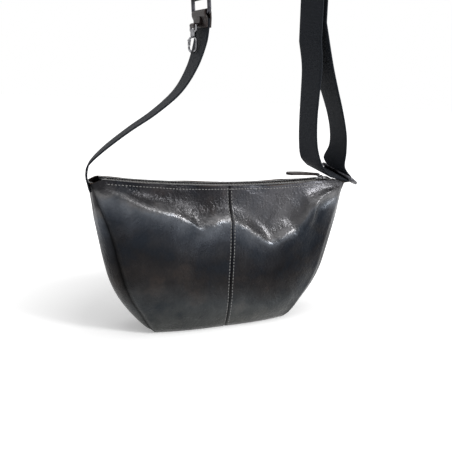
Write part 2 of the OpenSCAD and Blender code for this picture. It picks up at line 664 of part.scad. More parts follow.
// Leather tab at the strap's left end: round the ring's bar and down both faces of the webbing
module end_tab() {
    loop_out = ring_wire / 2 + pin_gap + leather_t;
    slot_w = web_t + 2 * seam_gap;
    web_x = end_web_x - end_bar[0];
    outer = web_x + slot_w / 2 + leather_t;
    inner = web_x - slot_w / 2 - leather_t;
    color(edge_colour) placed() translate(end_bar) across_y(end_tab_w) difference() {
        union() {
            circle(r = loop_out);
            translate([inner, -end_tab_h]) square([outer - inner, end_tab_h]);
        }
        circle(r = ring_wire / 2 + pin_gap);
        translate([web_x - slot_w / 2, -end_tab_h - seam_gap])
            square([slot_w, end_tab_h + 2 * seam_gap - ring_wire - leather_t]);
    }
}
module end_ring() {
    color(metal_colour) placed() translate(end_bar) rotate([0, -end_ring_lean, 0])
        wire_ring(ring_w + ring_wire, ring_h, ring_wire, ring_wire);
}
// Narrow leather strap that holds the hook's eye against the tab's outer face
module hook_strap() {
    loop_out = eye_wire / 2 + pin_gap + loop_leather_t;
    face = end_web_x - web_t / 2 - 2 * seam_gap - leather_t - eye_bar[0];
    ply = 2 * loop_leather_t;
    knee = [face - ply, eye_wire];
    strap_h = end_tab_h * 0.62;
    strap_w = eye_w + eye_wire - 2 * (eye_bend + seam_gap);
    color(edge_colour) placed() translate(eye_bar) across_y(strap_w) difference() {
        union() {
            circle(r = loop_out);
            polygon([
                [0, 0], [loop_out, -ply / 2], [face, ply / 2], [face, strap_h], [face - ply, strap_h], knee,
                [0, loop_out * 0.6]
            ]);
        }
        circle(r = eye_wire / 2 + pin_gap);
    }
}
// Eye: a wire bow on a swivel plate that the hook's stem turns in
module hook_eye() {
    color(bright_colour) placed() translate(eye_bar) {
        difference() {
            union() {
                rotate([180, 0, 0]) wire_ring(eye_w + eye_wire, eye_h, eye_wire, eye_bend);
                translate([0, 0, -eye_h]) cylinder(r = collar_r, h = swivel_t, center = true);
            }
            translate([0, 0, -eye_h]) cylinder(r = stem_r + pin_gap, h = 2 * eye_wire, center = true);
        }
    }
}
// Hook: a stem that turns in the eye's plate, a collar, a bow with the gate's tongue, a spine and a nose
module hook_body() {
    color(bright_colour) placed() translate([hook_x, 0, 0]) {
        translate([0, 0, hook_top]) cylinder(r = collar_r, h = collar_h);
        translate([0, 0, hook_top]) cylinder(r = stem_r, h = head_z + head_h - hook_top);
        translate([0, 0, head_z]) cylinder(r = stem_r * 1.6, h = head_h);
        difference() {
            union() {
                translate([0, 0, bow_z]) rotate([90, 0, 0]) rotate_extrude(angle = 180)
                    translate([bow_r, 0]) circle(d = hook_wire);
                translate([-bow_r, 0, bow_z]) across_y(tongue_plate) circle(r = gate_boss_r);
            }
            for (s = [-1, 1]) translate([-bow_r, s * (tongue_plate / 2 + hook_wire), bow_z])
                across_y(2 * hook_wire) circle(r = gate_boss_r + gate_gap);
            translate([-bow_r, 0, bow_z]) across_y(2 * hook_wire) circle(r = gate_pin_r + pin_gap);
        }
        translate([bow_r, 0, bow_z - leg_l]) cylinder(d = hook_wire, h = leg_l);
        translate([0, 0, bow_z - leg_l]) rotate([-90, 0, 0]) rotate_extrude(angle = 180)
            translate([bow_r, 0]) circle(d = hook_wire);
        translate([-bow_r, 0, bow_z - leg_l]) cylinder(d = hook_wire, h = nose_h);
    }
}
// Gate: a spring wire bow whose two cheeks turn on the pin at the hook's shoulder
module hook_gate() {
    foot = leg_l - nose_h - gate_gap;
    color(bright_colour) placed() translate([hook_x - bow_r, 0, bow_z]) difference() {
        union() {
            for (s = [-1, 1])
                translate([0, s * (tongue_plate / 2 + seam_gap + cheek_t / 2), 0]) across_y(cheek_t) union() {
                    circle(r = gate_boss_r);
                    translate([-gate_t / 2, -foot]) square([gate_t, foot]);
                }
            translate([-gate_t / 2, -tongue_plate / 2 - seam_gap - eps, -foot])
                cube([gate_t, tongue_plate + 2 * seam_gap + 2 * eps, gate_t]);
        }
        across_y(2 * hook_wire) circle(r = gate_pin_r + pin_gap);
    }
}
module hook_gate_pin() {
    pin_l = tongue_plate + 2 * seam_gap + 2 * cheek_t;
    color(metal_colour) placed() translate([hook_x - bow_r, 0, bow_z]) across_y(pin_l) circle(r = gate_pin_r);
}

front_panel_left();
front_panel_right();
back_panel_left();
back_panel_right();
gusset();
lining_front();
lining_back();
lining_gusset();
rim_band_front();
rim_band_back();
zip_tape_front();
zip_tape_back();
zip_teeth_front();
zip_teeth_back();
zip_bottom_stop();
zip_top_stops();
zip_slider();
zip_pull_ring();
zip_pull_tongue();
corner_tab();
corner_ring();
strap_webbing();
return_strand();
adjuster_frame();
adjuster_loop();
lower_webbing();
end_tab();
end_ring();
hook_strap();
hook_eye();
hook_body();
hook_gate();
hook_gate_pin();
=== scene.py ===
"""Looks of a soft half-moon crossbody bag: leather shell, webbing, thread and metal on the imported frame."""

import json
import logging
import math
from dataclasses import dataclass
from enum import Enum
from typing import Callable, Optional, Sequence, Union

import bpy
import numpy as np
from mathutils import Matrix, Vector, noise

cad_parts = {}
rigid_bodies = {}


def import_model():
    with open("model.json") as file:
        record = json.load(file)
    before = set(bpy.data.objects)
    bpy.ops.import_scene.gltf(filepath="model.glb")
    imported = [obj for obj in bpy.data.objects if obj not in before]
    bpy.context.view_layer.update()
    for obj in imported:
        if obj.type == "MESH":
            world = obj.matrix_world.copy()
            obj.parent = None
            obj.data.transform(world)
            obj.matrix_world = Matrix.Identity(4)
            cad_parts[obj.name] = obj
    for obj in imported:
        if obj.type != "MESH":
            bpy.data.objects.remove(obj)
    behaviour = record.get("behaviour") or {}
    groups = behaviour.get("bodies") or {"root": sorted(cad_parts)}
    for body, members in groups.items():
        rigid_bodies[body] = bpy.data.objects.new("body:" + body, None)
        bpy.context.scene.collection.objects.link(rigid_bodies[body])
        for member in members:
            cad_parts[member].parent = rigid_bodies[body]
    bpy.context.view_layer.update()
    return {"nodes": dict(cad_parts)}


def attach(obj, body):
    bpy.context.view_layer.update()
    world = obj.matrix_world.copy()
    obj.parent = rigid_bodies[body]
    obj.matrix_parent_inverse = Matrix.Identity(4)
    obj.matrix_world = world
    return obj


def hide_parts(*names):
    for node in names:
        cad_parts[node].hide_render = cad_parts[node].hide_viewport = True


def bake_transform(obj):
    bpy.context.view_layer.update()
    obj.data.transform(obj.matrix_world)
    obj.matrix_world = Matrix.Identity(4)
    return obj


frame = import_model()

LOG = logging.getLogger("crossbody_bag")
# Height of the strap's top above the bag's base, and how far it lies to the right of the bag's middle, in mm
HANG = 644.4585
SHIFT = 14.0
# Scale of a wave pattern whose bands lie 1 mm apart
WAVE_SCALE = 1000 / 6.2832 * 2
# Name of the map that lays a piece out flat, and of the mark for how dark the painted shade in a seam lies
FLAT_MAP = "flat_pattern"
SEAM_SHADE_MARK = "seam_dirt"

Source = Union[bpy.types.Node, bpy.types.NodeSocket]


class Side(Enum):
    """A side of the bag, with the word that the pieces' names have for it."""

    @property
    def word(self) -> str:
        """The side's name in small letters."""
        return self.name.lower()


class Face(Side):
    """Side of the bag that a panel covers."""

    FRONT = -1
    BACK = 1


class Half(Side):
    """Half of a panel, as the front is seen."""

    LEFT = -1
    RIGHT = 1


class Slot(Enum):
    """Material slots of the part's record."""

    LEATHER = "leather"
    TRIM = "trim_leather"
    LINING = "lining_cloth"
    TAPE = "zip_tape"
    WEBBING = "webbing"


def to_row(points: np.ndarray) -> np.ndarray:
    """Turn millimetres above the bag's base into metres from the hang point."""
    return (np.asarray(points, float) - np.array([SHIFT, 0.0, HANG])) / 1000.0


def cubic(p1: np.ndarray, m1: np.ndarray, p2: np.ndarray, m2: np.ndarray, s: np.ndarray) -> np.ndarray:
    """Run smoothly between two values.

    Args:
        p1: First value.
        m1: Slope at the first value.
        p2: Last value.
        m2: Slope at the last value.
        s: Share of the way, from 0 to 1.

    Returns:
        The value at that share.
    """
    return (
        p1 * (2 * s**3 - 3 * s**2 + 1)
        + m1 * (s**3 - 2 * s**2 + s)
        + p2 * (3 * s**2 - 2 * s**3)
        + m2 * (s**3 - s**2)
    )


def hermite(value: np.ndarray, xs: Sequence[float], ys: Sequence[float]) -> np.ndarray:
    """Follow a smooth curve through a short table.

    Args:
        value: Places to read the curve at.
        xs: Rising places of the table.
        ys: Values of the table.

    Returns:
        The curve's values.
    """
    x = np.asarray(xs, float)
    y = np.asarray(ys, float)
    slopes = np.empty_like(y)
    slopes[1:-1] = (y[2:] - y[:-2]) / (x[2:] - x[:-2])
    slopes[0] = (y[1] - y[0]) / (x[1] - x[0])
    slopes[-1] = (y[-1] - y[-2]) / (x[-1] - x[-2])
    t = np.clip(np.asarray(value, float), x[0], x[-1])
    i = np.clip(np.searchsorted(x, t, side="right") - 1, 0, len(x) - 2)
    h = x[i + 1] - x[i]
    return cubic(y[i], slopes[i] * h, y[i + 1], slopes[i + 1] * h, (t - x[i]) / h)


def fade(value: np.ndarray, over: float) -> np.ndarray:
    """Rise evenly from 0 to 1 over a length, and stay there."""
    return np.clip(value / over, 0, 1)


def ease(share: np.ndarray) -> np.ndarray:
    """Round off both ends of a rise from 0 to 1."""
    return share * share * (3 - 2 * share)


def bell(gap: np.ndarray, width: float) -> np.ndarray:
    """Rounded ridge: 1 on its line and nearly 0 two widths away."""
    return np.exp(-((gap / width) ** 2))


def linear(code: str) -> tuple[float, float, float, float]:
    """Turn an sRGB hex colour into the linear colour that a shader takes.

    Args:
        code: Colour such as "#1c2024".

    Returns:
        Red, green, blue and alpha, linear.
    """
    parts = [int(code[i : i + 2], 16) / 255 for i in (1, 3, 5)]
    r, g, b = (c / 12.92 if c <= 0.04045 else ((c + 0.055) / 1.055) ** 2.4 for c in parts)
    return (r, g, b, 1.0)


def wire(
    node: bpy.types.Node, settings: Optional[dict] = None, links: Optional[dict] = None
) -> bpy.types.Node:
    """Set a node's values and feed its inputs.

    Args:
        node: Node to set up.
        settings: Inputs or attributes and their values; "stops" are the places and hex colours of a ramp.
        links: Inputs and what feeds them: an output, or a node for its first output.

    Returns:
        The same node.
    """
    for name, value in (settings or {}).items():
        if name == "stops":
            elements = node.color_ramp.elements
            while len(elements) < len(value):
                elements.new(0.5)
            for element, (place, code) in zip(elements, value):
                element.position = place
                element.color = linear(code)
        elif isinstance(name, str) and hasattr(node, name) and name not in node.inputs:
            setattr(node, name, value)
        else:
            node.inputs[name].default_value = value
    for name, source in (links or {}).items():
        output = source.outputs[0] if isinstance(source, bpy.types.Node) else source
        node.id_data.links.new(output, node.inputs[name])
    return node


def add_node(
    tree: bpy.types.NodeTree, kind: str, settings: Optional[dict] = None, links: Optional[dict] = None
) -> bpy.types.Node:
    """Add a node of a kind with its settings and links."""
    return wire(tree.nodes.new("ShaderNode" + kind), settings, links)


def new_material(name: str) -> tuple[bpy.types.Material, bpy.types.Node, bpy.types.NodeTree]:
    """Make a node material.

    Args:
        name: Name of the real material.

    Returns:
        The material, its shader and its tree.
    """
    material = bpy.data.materials.new(name)
    material.use_nodes = True
    tree = material.node_tree
    return material, tree.nodes["Principled BSDF"], tree


def coat(
    shader: bpy.types.Node, pattern: Source, stops: tuple, height: Source, relief: tuple, settings: dict
) -> None:
    """Colour a shader by one pattern and raise its surface by another.

    Args:
        shader: The material's shader.
        pattern: Pattern that the colour follows.
        stops: Places and hex colours, from low to high.
        height: Pattern that raises the surface.
        relief: Strength and depth in metres of the raised surface.
        settings: The shader's values that are the same all over.
    """
    tree = shader.id_data
    colour = add_node(tree, "ValToRGB", {"stops": stops}, {"Fac": pattern})
    bump = add_node(tree, "Bump", {"Strength": relief[0], "Distance": relief[1]}, {"Height": height})
    wire(shader, settings, {"Base Color": colour, "Normal": bump})


def shown(tree: bpy.types.NodeTree) -> bpy.types.Node:
    """Whether a ray shows the backdrop: to the camera, in a reflection or through glass.

    Args:
        tree: Node tree of the backdrop.

    Returns:
        The node whose value is 1 for such a ray and 0 for the rest.
    """
    rays = add_node(tree, "LightPath").outputs
    seen = add_node(
        tree, "Math", {"operation": "MAXIMUM"}, {0: rays["Is Camera Ray"], 1: rays["Is Glossy Ray"]}
    )
    return add_node(tree, "Math", {"operation": "MAXIMUM"}, {0: seen, 1: rays["Is Transmission Ray"]})


@dataclass(frozen=True)
class WaxedLeather:
    """Vegetable-tanned cowhide, waxed and hand polished.

    The wax gives broad soft highlights broken up by a fine grain, and patches that lean blue or brown. The
    painted sheen and reflection tints go by height on the bag: 0 at the base, about 0.8 at the crest of the
    front, where the painted highlight is, and 1 at the rim.
    """

    name: str = "waxed_veg_tan_leather"
    black: str = "#121113"
    blue: str = "#14181e"
    brown: str = "#1f1815"
    grain_mm: float = 1.4
    patch_mm: float = 48.0
    drift_mm: float = 30.0
    drift: float = 0.16
    # Share by which the painted shade in the seams darkens the colour and the sheen
    seam_shade: float = 0.88
    # How much more painted sheen the shelf's right gets, and how much less the right of the front below it
    shelf_more: float = 0.58
    front_less: float = 0.62
    # Tints of the painted reflection by height: pale at the base, bluish under the crest, white at the crest
    reflection_tints: tuple = (
        *((0.0, "#e3e6de"), (0.22, "#d2dce0"), (0.4, "#dcd2cc"), (0.56, "#c6cad2")),
        *((0.66, "#bcc8da"), (0.76, "#d2dbe8"), (0.8, "#f3f2f4"), (1.0, "#e0e0ea")),
    )
    # Strength of the painted sheen by height, brightest at the crest as a painted highlight
    polish: tuple = (
        *((0.0, "#d2d2d2"), (0.16, "#c8c8c8"), (0.34, "#666666"), (0.52, "#5c5c5c"), (0.64, "#959595")),
        *((0.71, "#dadada"), (0.76, "#ffffff"), (0.8, "#ffffff"), (0.86, "#767676"), (1.0, "#5c5c5c")),
    )

    def placed_sheen(
        self, tree: bpy.types.NodeTree, share: Source, across: Source, level: Source
    ) -> bpy.types.Node:
        """Painted sheen by place: more on the shelf's right, less on the right of the front below it.

        Args:
            tree: Node tree of the leather.
            share: Height on the bag as a share.
            across: Metres to the right of the middle.
            level: Painted sheen by height alone.

        Returns:
            The node with the painted sheen.
        """
        spans = (
            (across, -0.02, 0.05, 1.0),
            (share, 0.8, 0.87, self.shelf_more),
            (across, 0.015, 0.055, self.front_less),
            (share, 0.77, 0.72, 1.0),
            (share, 0.3, 0.5, 1.0),
        )
        right, shelf, side, front, low = (
            add_node(
                tree, "MapRange", {"From Min": first, "From Max": last, "To Max": most}, {"Value": source}
            )
            for source, first, last, most in spans
        )
        more = add_node(tree, "Math", {"operation": "MULTIPLY_ADD"}, {0: right, 1: shelf, 2: level})
        band = add_node(tree, "Math", {"operation": "MULTIPLY"}, {0: front, 1: low})
        less = add_node(tree, "Math", {"operation": "MULTIPLY"}, {0: side, 1: band})
        kept = add_node(tree, "Math", {"operation": "SUBTRACT", 0: 1.0}, {1: less})
        return add_node(tree, "Math", {"operation": "MULTIPLY"}, {0: more, 1: kept})

    def build(self) -> bpy.types.Material:
        """Build the leather's material.

        Returns:
            The material.
        """
        material, shader, tree = new_material(self.name)
        place = add_node(tree, "TexCoord").outputs["Object"]
        mapped = add_node(tree, "UVMap", {"uv_map": FLAT_MAP})
        parts = add_node(tree, "SeparateXYZ", {}, {"Vector": mapped}).outputs
        patches, drift, gloss, fine, broad, pebbles = (
            add_node(
                tree, "TexNoise", {"Scale": scale, "Detail": detail, "Roughness": rough}, {"Vector": place}
            )
            for scale, detail, rough in (
                (1000 / self.patch_mm, 5.0, 0.62),
                (1000 / self.drift_mm, 4.0, 0.6),
                (55.0, 5.0, 0.62),
                (650.0, 4.0, 0.65),
                (85.0, 3.0, 0.55),
                (330.0, 2.0, 0.5),
            )
        )
        # The painted sheen's zones have edges that wander by noise
        sway = add_node(
            tree, "Math", {"operation": "MULTIPLY_ADD", 1: self.drift, 2: -self.drift / 2}, {0: drift}
        )
        share = add_node(tree, "Math", {"operation": "ADD"}, {0: parts["Y"], 1: sway})
        # Painted shade: the seams' valleys get a darker colour and less sheen
        seam_shade = add_node(tree, "Attribute", {"attribute_name": SEAM_SHADE_MARK}).outputs["Fac"]
        unshaded = add_node(tree, "Math", {"operation": "MULTIPLY_ADD", 1: -self.seam_shade, 2: 1.0}, {0: seam_shade})
        stains = ((0.34, self.blue), (0.47, self.black), (0.55, self.black), (0.68, self.brown))
        colour = add_node(tree, "ValToRGB", {"stops": stains}, {"Fac": patches})
        skin = add_node(tree, "VectorMath", {"operation": "SCALE"}, {"Vector": colour, "Scale": unshaded})
        # Painted reflection tint and painted sheen by height
        reflection_tint = add_node(tree, "ValToRGB", {"stops": self.reflection_tints}, {"Fac": share})
        polish = add_node(tree, "ValToRGB", {"stops": self.polish}, {"Fac": share})
        level = add_node(tree, "MapRange", {"To Min": 0.1, "To Max": 1.15}, {"Value": polish})
        spread = {"From Min": 0.36, "From Max": 0.64, "To Min": 0.6, "To Max": 1.4}
        clouds = add_node(tree, "MapRange", spread, {"Value": patches})
        uneven = add_node(tree, "Math", {"operation": "MULTIPLY"}, {0: level, 1: clouds})
        placed_sheen = self.placed_sheen(tree, share, parts["X"], uneven)
        shine = add_node(tree, "Math", {"operation": "MULTIPLY"}, {0: placed_sheen, 1: unshaded})
        spread = {"From Min": 0.35, "From Max": 0.65, "To Min": 0.2, "To Max": 0.4}
        rough = add_node(tree, "MapRange", spread, {"Value": gloss})
        cells = add_node(
            tree,
            "TexVoronoi",
            {"feature": "F1", "Scale": 1000 / self.grain_mm, "Randomness": 1.0},
            {"Vector": place},
        )
        grain = add_node(tree, "Math", {"operation": "MULTIPLY_ADD", 1: 0.55}, {0: cells, 2: fine})
        links = {}
        for height, strength, depth in ((broad, 0.3, 0.0008), (pebbles, 0.6, 0.001), (grain, 0.5, 0.0003)):
            links["Height"] = height
            links["Normal"] = add_node(tree, "Bump", {"Strength": strength, "Distance": depth}, links)
        surface = {"Base Color": skin, "Specular Tint": reflection_tint, "Specular IOR Level": shine, "Roughness": rough}
        wire(shader, {}, {**surface, "Normal": links["Normal"]})
        return material


@dataclass(frozen=True)
class TrimLeather:
    """Undyed-edge bridle leather: a darker, redder skin with a smooth burnished face."""

    name: str = "burnished_trim_leather"
    low: str = "#140d0c"
    high: str = "#281815"
    grain_mm: float = 1.1

    def build(self) -> bpy.types.Material:
        """Build the trim leather's material.

        Returns:
            The material.
        """
        material, shader, tree = new_material(self.name)
        place = add_node(tree, "TexCoord").outputs["Object"]
        stain = add_node(
            tree, "TexNoise", {"Scale": 90.0, "Detail": 4.0, "Roughness": 0.6}, {"Vector": place}
        )
        cells = add_node(tree, "TexVoronoi", {"Scale": 1000 / self.grain_mm}, {"Vector": place})
        stops = ((0.35, self.low), (0.7, self.high))
        coat(shader, stain, stops, cells, (0.3, 0.0002), {"Roughness": 0.46, "Specular IOR Level": 0.28})
        return material


@dataclass(frozen=True)
class RawEdge:
    """Cut edge of the hide, sanded and left brown-beige."""

    name: str = "raw_cut_leather_edge"
    low: str = "#3a2c25"
    high: str = "#705c4c"

    def build(self) -> bpy.types.Material:
        """Build the cut edge's material.

        Returns:
            The material.
        """
        material, shader, tree = new_material(self.name)
        place = add_node(tree, "TexCoord").outputs["Object"]
        fibres = add_node(
            tree, "TexNoise", {"Scale": 420.0, "Detail": 5.0, "Roughness": 0.7}, {"Vector": place}
        )
        coat(shader, fibres, ((0.35, self.low), (0.68, self.high)), fibres, (0.5, 0.0003), {"Roughness": 0.8})
        return material


@dataclass(frozen=True)
class PolyesterWebbing:
    """Dense woven polyester webbing: matt, blue-black, with fine ribs across and a tubular selvedge.

    The weave's ribs are drawn 1.5 mm apart, a little coarser than real ones, so that they show.
    """

    name: str = "woven_polyester_webbing"
    dark: str = "#0d1015"
    light: str = "#1a1f27"
    rib_mm: float = 1.5
    yarn_mm: float = 1.9

    def build(self) -> bpy.types.Material:
        """Build the webbing's material, which reads the piece's own map, laid out in metres.

        Returns:
            The material.
        """
        material, shader, tree = new_material(self.name)
        mapped = add_node(tree, "UVMap", {"uv_map": FLAT_MAP})
        ribs, yarns = (
            add_node(
                tree,
                "TexWave",
                {"bands_direction": way, "Scale": WAVE_SCALE / gap, "Distortion": wander, "Detail": 1.0},
                {"Vector": mapped},
            ).outputs["Fac"]
            for way, gap, wander in (("Y", self.rib_mm, 0.6), ("X", self.yarn_mm, 0.8))
        )
        weave = add_node(tree, "Math", {"operation": "MULTIPLY"}, {0: ribs, 1: yarns})
        fuzz = add_node(
            tree, "TexNoise", {"Scale": 300.0, "Detail": 4.0, "Roughness": 0.7}, {"Vector": mapped}
        )
        level = add_node(tree, "Math", {"operation": "MULTIPLY_ADD", 1: 0.6}, {0: fuzz, 2: weave})
        settings = {
            "Roughness": 0.75, "Sheen Weight": 0.05,
            "Sheen Roughness": 0.4, "Specular IOR Level": 0.16,
        }
        coat(shader, level, ((0.2, self.dark), (0.85, self.light)), weave, (0.55, 0.0004), settings)
        return material


@dataclass(frozen=True)
class Cloth:
    """Plain woven cotton or zip tape: a flat basket weave with soft, matt threads."""

    name: str
    dark: str
    light: str
    thread_mm: float = 0.9

    def build(self) -> bpy.types.Material:
        """Build the cloth's material.

        Returns:
            The material.
        """
        material, shader, tree = new_material(self.name)
        place = add_node(tree, "TexCoord").outputs["Object"]
        scale = WAVE_SCALE / self.thread_mm
        warp, weft = (
            add_node(
                tree, "TexWave", {"bands_direction": way, "Scale": scale}, {"Vector": place}
            ).outputs["Fac"]
            for way in "XZ"
        )
        weave = add_node(tree, "Math", {"operation": "MAXIMUM"}, {0: warp, 1: weft})
        coat(shader, weave, ((0.2, self.dark), (0.9, self.light)), weave, (0.5, 0.0002), {"Roughness": 0.85})
        return material


@dataclass(frozen=True)
class LinenThread:
    """Waxed linen thread, laid in three twisted plies."""

    name: str = "waxed_linen_thread"
    dark: str = "#636262"
    light: str = "#969594"
    ply_mm: float = 0.7

    def build(self) -> bpy.types.Material:
        """Build the thread's material.

        Returns:
            The material.
        """
        material, shader, tree = new_material(self.name)
        place = add_node(tree, "TexCoord").outputs["Object"]
        twist = {"bands_direction": "DIAGONAL", "Scale": WAVE_SCALE / self.ply_mm, "Distortion": 1.0}
        plies = add_node(tree, "TexWave", twist, {"Vector": place}).outputs["Fac"]
        coat(shader, plies, ((0.2, self.dark), (0.8, self.light)), plies, (0.4, 0.0001), {"Roughness": 0.6})
        return material


@dataclass(frozen=True)
class PlatedMetal:
    """Plated zinc casting or steel wire: fine tumbling marks under the plating, wear at a larger scale."""

    name: str
    dark: str
    light: str
    roughness: float
    tumble_mm: float = 0.9

    def build(self) -> bpy.types.Material:
        """Build the metal's material.

        Returns:
            The material.
        """
        material, shader, tree = new_material(self.name)
        place = add_node(tree, "TexCoord").outputs["Object"]
        wear = add_node(
            tree, "TexNoise", {"Scale": 160.0, "Detail": 4.0, "Roughness": 0.6}, {"Vector": place}
        )
        marks = add_node(tree, "TexNoise", {"Scale": 1000 / self.tumble_mm, "Detail": 2.0}, {"Vector": place})
        least, most = self.roughness * 0.75, self.roughness * 1.25
        spread = {"From Min": 0.3, "From Max": 0.7, "To Min": least, "To Max": most}
        wire(shader, {}, {"Roughness": add_node(tree, "MapRange", spread, {"Value": wear})})
        coat(shader, wear, ((0.35, self.dark), (0.65, self.light)), marks, (0.12, 0.0001), {"Metallic": 1.0})
        return material


@dataclass(frozen=True)
class StudioWhite:
    """Matt white paper sweep that keeps the bag's soft shadow."""

    name: str = "white_paper_sweep"
    paper: str = "#f2f2f2"
    near: float = 0.15
    far: float = 0.4
    near_lift: float = 0.3
    far_lift: float = 0.9

    def build(self) -> bpy.types.Material:
        """Build the paper's material, with a lift for rays that see it, stronger away from the bag.

        Returns:
            The material.
        """
        material, shader, tree = new_material(self.name)
        place = add_node(tree, "TexCoord").outputs["Object"]
        foot = (-SHIFT / 1000, 0.0, -HANG / 1000)
        away = add_node(tree, "VectorMath", {"operation": "DISTANCE", 1: foot}, {0: place}).outputs["Value"]
        spread = {
            "From Min": self.near, "From Max": self.far,
            "To Min": self.near_lift, "To Max": self.far_lift,
        }
        lift = add_node(tree, "MapRange", spread, {"Value": away})
        strength = add_node(tree, "Math", {"operation": "MULTIPLY"}, {0: shown(tree), 1: lift})
        settings = {"Base Color": linear(self.paper), "Roughness": 0.9, "Specular IOR Level": 0.1}
        settings["Emission Color"] = (1.0, 1.0, 1.0, 1.0)
        wire(shader, settings, {"Emission Strength": strength})
        return material


def deselect_all() -> None:
    """Clear the selection, because an operator acts on all that is selected."""
    for item in bpy.context.view_layer.objects.selected:
        item.select_set(False)


def make_active(item: bpy.types.Object) -> None:
    """Select one object alone and make it active."""
    deselect_all()
    item.select_set(True)
    bpy.context.view_layer.objects.active = item


def edit_all(item: bpy.types.Object, operator: Callable, **settings: object) -> None:
    """Work on the whole of a piece in edit mode.

    Args:
        item: Piece to work on.
        operator: What is done to its faces.
        settings: The operator's settings.
    """
    make_active(item)
    bpy.ops.object.mode_set(mode="EDIT")
    bpy.ops.mesh.select_all(action="SELECT")
    operator(**settings)
    bpy.ops.object.mode_set(mode="OBJECT")


def smooth_edges(item: bpy.types.Object, degrees: float = 50.0) -> None:
    """Shade smooth below an angle and sharp above it."""
    make_active(item)
    bpy.ops.object.shade_smooth_by_angle(angle=math.radians(degrees))


def apply_modifier(item: bpy.types.Object, kind: str, **settings: object) -> None:
    """Add a modifier with its settings and apply it.

    Args:
        item: Object that gets the modifier.
        kind: Type of the modifier.
        settings: Values of the modifier's attributes.
    """
    make_active(item)
    modifier = item.modifiers.new(kind.title(), kind)
    for name, value in settings.items():
        setattr(modifier, name, value)
    bpy.ops.object.modifier_apply(modifier=modifier.name)


def cloth_grid(
    name: str, points: np.ndarray, flat: Optional[np.ndarray] = None, seam_shade: Optional[np.ndarray] = None
) -> bpy.types.Object:
    """Lay a grid over a net of points, as a flat pattern is laid over a last.

    Args:
        name: Name of the piece.
        points: Rows by columns by 3, in millimetres above the base.
        flat: Rows by columns by 2, the flat pattern that a weave or the leather's painted sheen follows.
        seam_shade: Rows by columns, how dark the painted shade in the seams lies, from 0 to 1.

    Returns:
        The new object, with its place in its mesh.
    """
    rows, columns = points.shape[:2]
    deselect_all()
    bpy.ops.mesh.primitive_grid_add(x_subdivisions=columns - 1, y_subdivisions=rows - 1, size=1.0)
    item = bpy.context.active_object
    item.name = name
    data = item.data
    data.name = name
    where = np.empty(len(data.vertices) * 3)
    data.vertices.foreach_get("co", where)
    where = where.reshape(-1, 3)
    column = np.rint((where[:, 0] + 0.5) * (columns - 1)).astype(int)
    row = np.rint((where[:, 1] + 0.5) * (rows - 1)).astype(int)
    data.vertices.foreach_set("co", to_row(points)[row, column].astype(np.float32).ravel())
    if flat is not None:
        while data.uv_layers:
            data.uv_layers.remove(data.uv_layers[0])
        layer = data.uv_layers.new(name=FLAT_MAP)
        corners = np.empty(len(data.loops), dtype=int)
        data.loops.foreach_get("vertex_index", corners)
        layer.data.foreach_set("uv", flat[row, column][corners].astype(np.float32).ravel())
    # The mark carries the painted shade of the seams
    if seam_shade is not None:
        marks = data.attributes.new(SEAM_SHADE_MARK, "FLOAT", "POINT")
        marks.data.foreach_set("value", seam_shade[row, column].astype(np.float32).ravel())
    data.update()
    return item


def face_outward(item: bpy.types.Object) -> None:
    """Turn an open sheet's faces to one side, or a closed form's faces outward."""
    edit_all(item, bpy.ops.mesh.normals_make_consistent, inside=False)


def face_up(item: bpy.types.Object) -> None:
    """Turn a near-level sheet so that its faces look up."""
    if sum(polygon.normal.z for polygon in item.data.polygons) < 0:
        edit_all(item, bpy.ops.mesh.flip_normals)


def give_wall(item: bpy.types.Object, wall_mm: float, offset: float = -1.0, even: bool = True) -> None:
    """Give a sheet its real thickness.

    Args:
        item: Sheet to thicken.
        wall_mm: Thickness in millimetres.
        offset: Where the wall lies: 0 on both sides and -1 inward.
        even: Whether sharp bends keep the full thickness; folded hides go without.
    """
    apply_modifier(
        item, "SOLIDIFY", thickness=wall_mm / 1000, offset=offset, use_even_offset=even, use_rim=True
    )


def round_band(item: bpy.types.Object, wall_mm: float, rounding_mm: float, corner: float = 60.0) -> None:
    """Give a band its thickness and rounded edges.

    Args:
        item: Band to finish.
        wall_mm: Thickness in millimetres.
        rounding_mm: Radius of its edges in millimetres.
        corner: Bend in degrees above which an edge is rounded.
    """
    give_wall(item, wall_mm, 0.0)
    limit = math.radians(corner)
    apply_modifier(
        item, "BEVEL", width=rounding_mm / 1000, segments=2, limit_method="ANGLE", angle_limit=limit
    )
    face_outward(item)
    smooth_edges(item)


def dress(
    item: bpy.types.Object, material: bpy.types.Material, body: str, slot: Slot, *nodes: str
) -> bpy.types.Object:
    """Give a piece its material and body, and hide the solids that it stands for.

    Args:
        item: Finished piece.
        material: Its material.
        body: Body that it moves with.
        slot: Slot of the record; not used.
        nodes: Solids that it stands for.

    Returns:
        The same piece.
    """
    item.data.materials.clear()
    item.data.materials.append(material)
    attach(item, body)
    if nodes:
        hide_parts(*nodes)
    LOG.info("%s: %d faces on %s", item.name, len(item.data.polygons), body)
    return item


